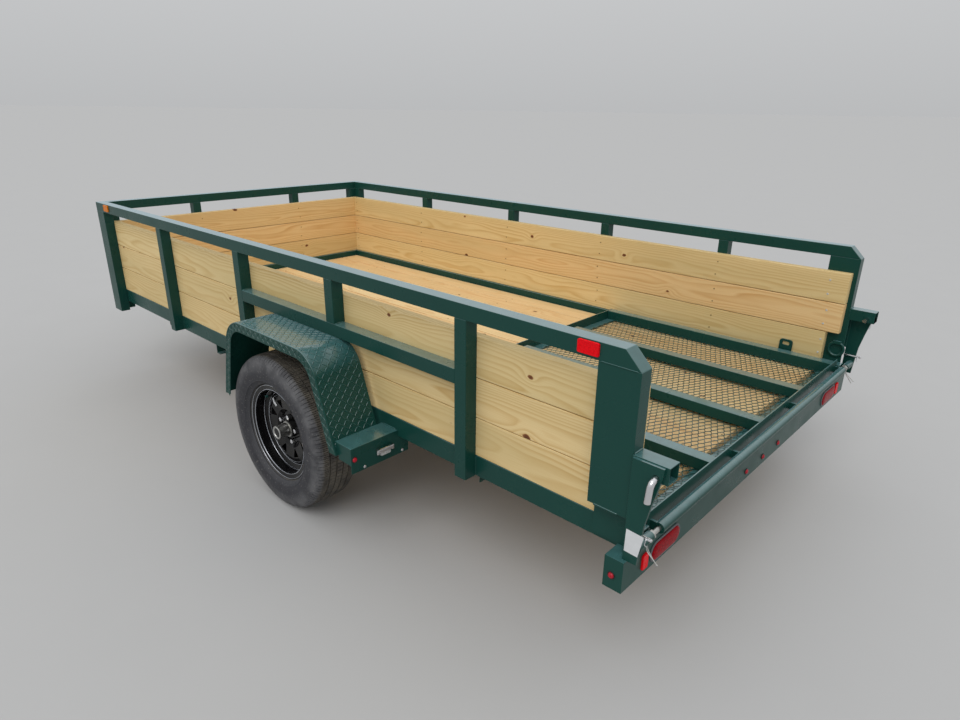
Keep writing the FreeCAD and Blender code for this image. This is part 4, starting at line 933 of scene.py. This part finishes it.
def tread_plate(side, sign):
    """The raised pattern on a fender's sheet and its lip, and the lip's rolled corner."""
    solid = Solid()
    low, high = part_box(side + "_fender")
    inner, outer = sorted((abs(low.y), abs(high.y)))
    across = Vector((0, sign, 0))
    path, lengths = bent_line(FENDER_LINE, FENDER_BEND)
    columns = int((outer - inner - LOZENGE_BARE) / LOZENGE_PITCH)
    margin = (outer - inner - (columns - 1) * LOZENGE_PITCH) / 2
    for row in range(int(lengths[-1] / LOZENGE_PITCH)):
        point, along, out = at_length(path, lengths, (row + 0.5) * LOZENGE_PITCH)
        for column in range(columns):
            y = sign * (inner + margin + column * LOZENGE_PITCH)
            lozenge(solid, point + Vector((REAR, y, 0)), along, across, out, 1 if (row + column) % 2 else -1)
        for column, drop in enumerate(LIP_ROWS):
            face = point - out * drop + Vector((REAR, sign * outer, 0))
            lozenge(solid, face, along, out, across, 1 if (row + column) % 2 else -1)
    solid.piece(side + "_fender_tread", GREEN)
    edge = []
    for step in range(int(lengths[-1] * LIP_STEPS) + 1):
        point, along, out = at_length(path, lengths, step / LIP_STEPS)
        edge.append(point - out * LIP_INSET + Vector((REAR, sign * (outer - LIP_INSET), 0)))
    bend = Solid()
    bend.rings(tube_rings(edge, [LIP_ROLL] * len(edge), 12))
    bend.piece(side + "_fender_bend", GREEN, sharp=60.0)


# A nut or bolt head: share of its thickness, share of its corner radius
HEX_HEAD = ((0.0, 0.96), (0.12, 1.0), (0.82, 1.0), (1.0, 0.84), (1.001, 0.0))


def hex_nut(solid, at, axis, across_flats, thick, begin=0.0):
    """A six-sided nut or bolt head with a chamfered outer edge."""
    radius = across_flats / sqrt(3)
    solid.turn(at, axis, [(thick * a, radius * b) for a, b in HEX_HEAD], 6, begin)


# Hinge bolts: inner end from the side rail's face, radius and its chamfer, outer end beyond the tube
BOLT_INNER, BOLT_OUTER = 0.1084, 0.0095
BOLT_RADIUS, BOLT_TIP, BOLT_CHAMFER = 0.00794, 0.0062, 0.0020
# Their nuts: place from the tube's outer face, across flats, thickness, turn
NUT_PLACE, NUT_FLATS, NUT_THICK, NUT_TURN = 0.0765, 0.0235, 0.0130, 0.3


def hinge_bolts():
    """Hex bolts that carry the gate, each with its nut against the bush."""
    solid = Solid()
    begin = HALF - BOLT_INNER
    for sign in SIGNS:
        axis = Vector((0, sign, 0))
        solid.turn(HINGE + axis * begin, axis, (
            (0.0, BOLT_TIP), (BOLT_CHAMFER, BOLT_RADIUS), (OUTER + BOLT_OUTER - begin, BOLT_RADIUS)), 24)
        hex_nut(solid, HINGE + axis * (OUTER - NUT_PLACE), -axis, NUT_FLATS, NUT_THICK, NUT_TURN)
    solid.piece("hinge_bolts_hex", ZINC, BED, ("hinge_bolts",))


def hinge_cotters():
    """Bent wire legs of the cotters below the hinge bushes."""
    solid = Solid()
    x, z = HINGE.x, HINGE.z
    for sign in SIGNS:
        y = sign * (HALF - 0.010)
        for spread in (0.0, 0.007):
            spread_y = y + sign * spread
            solid.rod([(x + 0.002, y, z - 0.010), (x - 0.006, spread_y, z - 0.036),
                       (x - 0.036 - spread, spread_y, z - 0.073 + spread)], 0.0017, 8, 0.006)
    solid.piece("hinge_cotters", ZINC, sharp=50.0)


def latch_pins():
    """Round bars bent down into a handle."""
    low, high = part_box("latch_pins")
    solid = Solid()
    radius = (high.x - low.x) / 2
    middle, handle, top = (low.x + high.x) / 2, high.y - radius, high.z - radius
    for sign in SIGNS:
        solid.rod([(middle, sign * (HALF - 0.034), top), (middle, sign * handle, top),
                   (middle + 0.004, sign * handle, low.z)], 0.0093, 20, 0.024)
    solid.piece("latch_pins_bent", CHROME, BED, ("latch_pins",), 40.0)


# A stow pin from its front end, without its last point: place, radius
STOW_PIN = mm((0, 3), (2, 5), (12, 5), (13, 3.8), (16, 3.8), (17, 5))


def stow_pins():
    """Small pins with a groove, and a wire clip through each."""
    low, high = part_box("stow_pins")
    x, z = low.x, (low.z + high.z) / 2
    solid = Solid()
    for sign in SIGNS:
        y = sign * (OUTER - 0.005)
        solid.turn((x, y, z), (1, 0, 0), STOW_PIN + ((high.x - x, 0.0050),), 20)
        solid.rod([(x + 0.0145, y - 0.007, z), (x + 0.0145, y + 0.006, z + 0.001),
                   (x + 0.0165, y + 0.009, z - 0.016), (x + 0.0125, y + 0.001, z - 0.024)], 0.0013, 8, 0.005)
    solid.piece("stow_pins_clipped", CHROME, BED, ("stow_pins",), 40.0)


# Tie rings: wire and ring radii, the ring's middle above its foot; saddle: half length, depth, height
RING_WIRE, RING_RADIUS, RING_MIDDLE = 0.0060, 0.032, 0.038
SADDLE_HALF, SADDLE_DEPTH, SADDLE_TALL = 0.018, 0.015, 0.016


def tie_rings():
    """Round rings that hang from a saddle welded to each side rail."""
    low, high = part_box("tie_rings")
    solid = Solid()
    for sign in SIGNS:
        centre = Vector(((low.x + high.x) / 2, sign * (high.y - RING_WIRE), low.z + RING_MIDDLE))
        solid.hoop(centre, Vector((0, sign, 0)), RING_RADIUS, RING_WIRE, 48, 10)
        inner, outer = sorted((sign * (HALF - SADDLE_DEPTH), sign * HALF))
        solid.box((centre.x - SADDLE_HALF, inner, high.z - SADDLE_TALL),
                  (centre.x + SADDLE_HALF, outer, high.z), 0.0035)
    solid.piece("tie_rings_round", GREEN, BED, ("tie_rings",), 40.0)


# Corners of the ear plate's label: from the rear face, above the ground
EAR_LABEL = mm((11.5, 575), (-41.4, 572), (-28.8, 503), (12.5, 505))


def ear_label():
    """A blank white film label on the left ear plate."""
    solid = Solid()
    face = OUTER + BOLT_OUTER
    solid.rings([[(REAR + x, face + lift, z) for x, z in EAR_LABEL] for lift in (-0.0002, 0.0003)])
    solid.piece("ear_plate_label", WHITE, sharp=40.0, slot="green_paint")


# Tail lamps and their rims, section by section: inset, place behind the rear face, or None for the foot
TAIL_LENS = (
    (0.0, None), (0.0, 0.0045), (0.0015, 0.0062), (0.006, 0.0076), (0.014, 0.0086), (0.024, 0.0090))
TAIL_RIM = (
    (0.0035, None), (0.0035, 0.0), (0.0, 0.0004), (0.0, 0.0025), (0.0015, 0.0040), (0.0052, 0.0040),
    (0.0068, 0.0030), (0.0069, None))
# Marker lamps: place, radius
BULLET = mm((0, 9.2), (1.8, 9.2), (4.2, 8.2), (6.2, 6.2), (7.4, 3.4), (7.9, 0))
GROMMET = mm((-0.5, 12.4), (1, 12.4), (2, 11.2), (1.8, 9.4), (0.2, 9), (0.1, 0))
SIDE_MARKER_DEPTH = 0.012


def oval(low, high, inset, x):
    """Points round an oval with straight sides, in a plane across the trailer."""
    y, z = (low.y + high.y) / 2, (low.z + high.z) / 2
    half_long, half_tall = (high.y - low.y) / 2 - inset, (high.z - low.z) / 2 - inset
    straight = half_long - half_tall
    points = []
    for k in range(OVAL_POINTS):
        turn = tau * k / OVAL_POINTS
        shift = straight if cos(turn) > 0 else -straight
        points.append((x, y + shift + half_tall * cos(turn), z + half_tall * sin(turn)))
    return points


def lamps():
    """Domed oval lenses in their rubber rims, and round marker lamps in their grommets."""
    lenses, bullets, rims, seats = Solid(), Solid(), Solid(), Solid()
    for solid, node, layers in ((lenses, "tail_lamps", TAIL_LENS), (rims, "lamp_rims", TAIL_RIM)):
        for low, high in islands(node):
            solid.rings([oval(low, high, inset, high.x if behind is None else REAR - behind)
                         for inset, behind in layers], closed=solid is rims)
    for low, high in islands("marker_lamps"):
        middle = (low + high) / 2
        if high.y - low.y < SIDE_MARKER_DEPTH:
            axis = (0, 1 if middle.y > 0 else -1, 0)
            foot = (middle.x, low.y if middle.y > 0 else high.y, middle.z)
        else:
            axis = (-1, 0, 0)
            foot = (high.x, middle.y, middle.z)
        bullets.turn(foot, axis, BULLET, 24)
        seats.turn(foot, axis, GROMMET, 24)
    lenses.piece("tail_lamp_lenses", RED, BED, ("tail_lamps",), 40.0)
    bullets.piece("marker_bullets", MARKER_RED, BED, ("marker_lamps",), 40.0)
    rims.piece("lamp_rims_moulded", GREY_RUBBER, BED, ("lamp_rims",), 40.0)
    seats.piece("marker_grommets", BLACK_RUBBER, sharp=40.0)


# The lamp over the number plate: depth behind the wall, low and high (y, z), corner radius
LAMP_CASE = (
    (0.022, (0.950, 0.4300), (1.020, 0.4480), 0.004), (0.016, (0.944, 0.4230), (0.956, 0.4420), 0.003),
    (0.016, (1.014, 0.4230), (1.026, 0.4420), 0.003))
LAMP_GLASS = ((0.018, (0.962, 0.4140), (1.008, 0.4310), 0.005),)
LAMP_SUNK = 0.0005
# The number plate's screws: middle beyond the side rail's face, half their distance, height, head radius
PLATE_MIDDLE, PLATE_HALF, PLATE_HEIGHT, PLATE_HEAD = 0.0696, 0.0889, 0.3920, 0.0062


def plate_lamp():
    """The number plate's lamp on the left step box's rear wall, with the plate's two screws below it."""
    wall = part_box("left_step_box")[0].x
    for blocks, name, material in (
            (LAMP_CASE, "plate_lamp_case", CHROME), (LAMP_GLASS, "plate_lamp_glass", CLEAR)):
        solid = Solid()
        for depth, low, high, edge in blocks:
            solid.box((wall - depth, *low), (wall + LAMP_SUNK, *high), edge)
        solid.piece(name, material, sharp=35.0)
    screws = Solid()
    for shift in (-PLATE_HALF, PLATE_HALF):
        screw(screws, (wall, HALF + PLATE_MIDDLE + shift, PLATE_HEIGHT), (-1, 0, 0), PLATE_HEAD)
    screws.piece("plate_screws", CHROME)


# Tie plates: corner radius; slot: inset along, bottom and top above the plate's foot, corner radius
TAB_CORNER = 0.014
SLOT_INSET, SLOT_BOTTOM, SLOT_TOP, SLOT_CORNER = 0.014, 0.038, 0.055, 0.005


def tie_plates():
    """Slotted tie-down tabs with round corners."""
    solid = Solid()
    for low, high in islands("tie_plates"):
        outline = round_corners((low.x, low.z), (high.x, high.z), TAB_CORNER, 5)
        slot = round_corners((low.x + SLOT_INSET, low.z + SLOT_BOTTOM),
                             (high.x - SLOT_INSET, low.z + SLOT_TOP), SLOT_CORNER, 5)
        solid.rings([[(x, y, z) for x, z in points] for y, points in (
            (low.y, outline), (high.y, outline), (high.y, slot), (low.y, slot))], closed=True)
    solid.piece("tie_plates_slotted", GREEN, BED, ("tie_plates",), 40.0)


def side_weld_lines():
    """Start, end and radius of each bead on the left side, where posts, rails, stubs and plates meet."""
    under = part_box("left_top_rail")[0].z
    mid_low, mid_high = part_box("mid_rails")
    corner_low, corner_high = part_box("rear_corner_posts")
    stub_low, stub_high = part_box("latch_stubs")
    cross_low, cross_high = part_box("rear_crossmember")
    step_low, step_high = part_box("left_step_box")
    lines = []

    def across(x, z, inset, radius=WELD):
        lines.append(((x, HALF + inset, z), (x, OUTER - inset, z), radius))

    def upright(x, y, bottom, top, radius=WELD):
        lines.append(((x, y, bottom), (x, y, top), radius))

    for low, high in islands("left_posts"):
        for x in (low.x - 0.0006, high.x + 0.0006):
            across(x, under, 0.005)
            if low.z < RAIL_TOP:
                upright(x, HALF, RAIL_LOW + 0.004, RAIL_TOP - 0.004)
            else:
                across(x, mid_high.z, 0.005)
    for x in (mid_low.x, mid_high.x):
        for z in (mid_low.z, mid_high.z):
            across(x, z, 0.006)
    y = OUTER - 0.001
    lines.append(((corner_low.x + 0.030, y, corner_low.z), (corner_high.x - 0.020, y, corner_low.z), 0.0032))
    lines.append(((corner_low.x + 0.010, OUTER, under), (corner_high.x - 0.006, OUTER, under), 0.0018))
    across(corner_high.x, under, 0.006)
    across(corner_low.x, stub_low.z, 0.006, 0.0034)
    across(corner_low.x, stub_high.z, 0.006, 0.0034)
    upright(corner_low.x, HALF, stub_low.z + 0.006, stub_high.z - 0.006)
    # The seam between the hinge's plates and the rear corner post
    seam = corner_low.x - 0.0020
    upright(seam, y, corner_low.z, stub_high.z, 0.0036)
    upright(seam, HALF + 0.0048, DECK_TOP - 0.018, stub_low.z, 0.0036)
    lines.append(((cross_high.x, HALF, cross_low.z + 0.088),
                  (cross_high.x - 0.050, HALF, cross_low.z + 0.1012), WELD))
    y = HALF + 0.001
    lines.append(((step_low.x + 0.012, y, step_high.z), (step_high.x - 0.010, y, step_high.z), WELD))
    return lines


def welds():
    """Weld beads of both sides and of the gate."""
    solid = Solid()
    for sign in SIGNS:
        mirror = Vector((1, sign, 1))
        for start, end, radius in side_weld_lines():
            solid.weld(Vector(start) * mirror, Vector(end) * mirror, radius)
    solid.piece("weld_beads", GREEN, sharp=60.0)

    beads = Solid()
    gate_low, gate_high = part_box("gate_bars")
    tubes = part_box("gate_mesh")[1].y
    ends = [(x, y) for low, high in islands("gate_bars") for x in (gate_low.x, gate_high.x)
            for y in (low.y, high.y)] + [(gate_high.x, -tubes), (gate_high.x, tubes)]
    for x, y in ends:
        beads.weld((x, y, gate_low.z + 0.004), (x, y, gate_high.z - 0.004), 0.0024)
    beads.piece("gate_weld_beads", GREEN, GATE, sharp=60.0)


# Spring irons: axle's half height, leaves and clamp above it, the U-bolts' half spread, the eye bolts' height
SEAT, LEAVES, CLAMP, U_SPREAD, EYE_HEIGHT = 0.0365, 4 * 0.007, 0.009, 0.036, 0.4252
IRON_FLATS = 0.019


def spring_irons():
    """U-bolts round the axle with their clamp plates and nuts, and the nuts of the spring eye bolts."""
    irons = Solid()
    spring_low, spring_high = [box for box in islands("leaf_springs") if box[0].y > 0][0]
    top = WHEEL.z + SEAT + LEAVES + CLAMP
    for sign in SIGNS:
        y0, y1 = sign * (spring_low.y - 0.006), sign * (spring_high.y + 0.006)
        for x in (WHEEL.x - U_SPREAD, WHEEL.x + U_SPREAD):
            foot = (x + WHEEL.x) / 2
            irons.rod([(x, y0, top + 0.012), (x, y0, WHEEL.z - 0.024), (foot, y0, WHEEL.z - 0.036),
                       (foot, y1, WHEEL.z - 0.036), (x, y1, WHEEL.z - 0.024), (x, y1, top + 0.012)],
                      0.0060, 10, 0.010)
            for y in (y0, y1):
                hex_nut(irons, (x, y, top), (0, 0, 1), IRON_FLATS, 0.009)
        irons.box((WHEEL.x - 0.052, min(y0, y1) - 0.010, top - 0.0075),
                  (WHEEL.x + 0.052, max(y0, y1) + 0.010, top), 0.0015)
        for low, high in islands("spring_hangers"):
            if low.y * sign > 0:
                x = (low.x + high.x) / 2
                for y, out in ((high.y - 0.0004, 1), (low.y + 0.0004, -1)):
                    hex_nut(irons, (x, y, EYE_HEIGHT), (0, out, 0), IRON_FLATS, 0.007)
    irons.piece("spring_bolts", BLACK)


# The crank's grip: place, radius; its start from the crank's far end and its height above the crank's foot
GRIP = mm(
    (0, 13.5), (3, 14.6), (20, 14.9), (22, 14), (40, 14.9), (42, 14), (60, 14.9), (62, 14),
    (86, 14.9), (94.5, 12), (95.2, 0))
GRIP_START, GRIP_HEIGHT = 0.094, 0.013
# The jack's weld round its housing: radius, and its upper ring above the plate's foot
JACK_RING, JACK_PLATE = 0.0290, 0.0095


def jack_fittings():
    """The grip on the jack's crank and the weld round its housing."""
    low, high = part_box("jack_crank")
    grip = Solid()
    grip.turn(((low.x + high.x) / 2, high.y - GRIP_START, low.z + GRIP_HEIGHT), (0, 1, 0), GRIP, 24)
    grip.piece("jack_crank_grip", BLACK_RUBBER, slot="black_steel")
    low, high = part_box("jack_housing")
    middle = (low.x + high.x) / 2
    bead = Solid()
    for z in (TONGUE_LOW + JACK_PLATE, TONGUE_LOW):
        ring = [(middle + JACK_RING * cos(tau * k / 40), JACK_RING * sin(tau * k / 40), z)
                for k in range(40)]
        for first, second in zip(ring, ring[1:] + ring[:1]):
            bead.weld(first, second, 0.0030)
    bead.piece("jack_weld_beads", ZINC, sharp=60.0)


# Nodes that stay as they are, by their finish
PAINTED = (
    (GREEN, "hinge_plates gate_hinge_pipe"), (BLACK, "axle leaf_springs left_hub right_hub coupler_cup"),
    (RIM_BLACK, "left_rim right_rim"), (ZINC, "jack_housing jack_crank jack_leg"),
)


def paint():
    """Gives the nodes that stay as they are their finish."""
    for material, nodes in PAINTED:
        for node in nodes.split():
            mesh = frame["nodes"][node].data
            mesh.materials.clear()
            mesh.materials.append(material)


# The photograph's camera: turns in degrees, focal length and frame width in pixels
VIEW = (-47.1108, -20.9297, 0.7379)
FOCAL_PIXELS, FRAME_PIXELS = 654.8162, 960
SENSOR = 36.0
# Its place: behind the rear face, to the left, above the ground
EYE = (-0.7007, 2.3238, 1.6145)


def camera():
    """The photograph's view: place from the rear face, the middle and the ground, then three turns."""
    yaw, pitch, roll = (radians(a) for a in VIEW)
    ahead = Vector((cos(pitch) * cos(yaw), cos(pitch) * sin(yaw), sin(pitch)))
    right = Vector((sin(yaw), -cos(yaw), 0))
    up = right.cross(ahead)
    right, up = right * cos(roll) + up * sin(roll), up * cos(roll) - right * sin(roll)
    data = bpy.data.cameras.new("camera")
    data.sensor_width = SENSOR
    data.lens = SENSOR * FOCAL_PIXELS / FRAME_PIXELS
    data.clip_end = 2000.0
    eye = linked("camera", data)
    turn = Matrix((right, up, -ahead)).transposed().to_4x4()
    eye.matrix_world = Matrix.Translation((REAR + EYE[0], EYE[1], EYE[2])) @ turn
    bpy.context.scene.camera = eye


# Sky brightness at the horizon and what it gains up to overhead, its colour, the floor's tone and half width
SKY_LOW, SKY_GAIN = 0.50, 0.45
SKY_COLOUR = (0.985, 1.0, 1.015, 1.0)
FLOOR_TONE, FLOOR_REACH = 0.505, 900.0
# The lamp: where it stands, its strength, its width in degrees and its colour
SUN_TOWARD = (-0.25, 0.62, 0.80)
SUN_POWER, SUN_WIDTH = 0.85, 40.0
SUN_COLOUR = (1.0, 0.985, 0.96)


def floor():
    """A pale floor that reaches the horizon."""
    look = Look("studio_floor", Roughness=0.9, Specular_IOR_Level=0.0)
    tones = [(FLOOR_TONE * share,) * 3 + (1.0,) for share in (0.985, 1.015)]
    look.finish(Base_Color=look.mix(look.noise(look.place(), 3.0, 4.0), *tones))
    mesh = bpy.data.meshes.new("floor")
    mesh.from_pydata([(x * FLOOR_REACH, y * FLOOR_REACH, 0) for x, y in ((-1, -1), (1, -1), (1, 1), (-1, 1))],
                     [], [(0, 1, 2, 3)])
    mesh.materials.append(look.material)
    linked("floor", mesh)


def sky():
    """An even sky that meets the floor without an edge."""
    world = bpy.data.worlds.new("sky")
    world.use_nodes = True
    bpy.context.scene.world = world
    tree = world.node_tree
    back = tree.nodes["Background"]
    back.inputs["Color"].default_value = SKY_COLOUR
    place = tree.nodes.new("ShaderNodeTexCoord")
    split = tree.nodes.new("ShaderNodeSeparateXYZ")
    level = tree.nodes.new("ShaderNodeMapRange")
    level.inputs["To Min"].default_value = SKY_LOW
    level.inputs["To Max"].default_value = SKY_LOW + SKY_GAIN
    tree.links.new(place.outputs["Generated"], split.inputs["Vector"])
    tree.links.new(split.outputs["Z"], level.inputs["Value"])
    tree.links.new(level.outputs["Result"], back.inputs["Strength"])


def sun():
    """A broad, distant lamp."""
    data = bpy.data.lights.new("key", "SUN")
    data.energy = SUN_POWER
    data.angle = radians(SUN_WIDTH)
    data.color = SUN_COLOUR
    lamp = linked("key", data)
    lamp.rotation_mode = "QUATERNION"
    lamp.rotation_quaternion = Vector(SUN_TOWARD).to_track_quat("Z", "Y")


camera()
floor()
sky()
sun()
steel_members()
timber()
board_screws()
gate_frame()
gate_mesh()
reflectors()
tie_plates()
lamps()
plate_lamp()
hinge_bolts()
hinge_cotters()
latch_pins()
stow_pins()
tie_rings()
ear_label()
welds()
spring_irons()
jack_fittings()
for side_name, side_sign in zip(("left", "right"), SIGNS):
    wheel(side_name, side_sign)
    tread_plate(side_name, side_sign)
paint()

bpy.context.scene.view_settings.view_transform = "Standard"
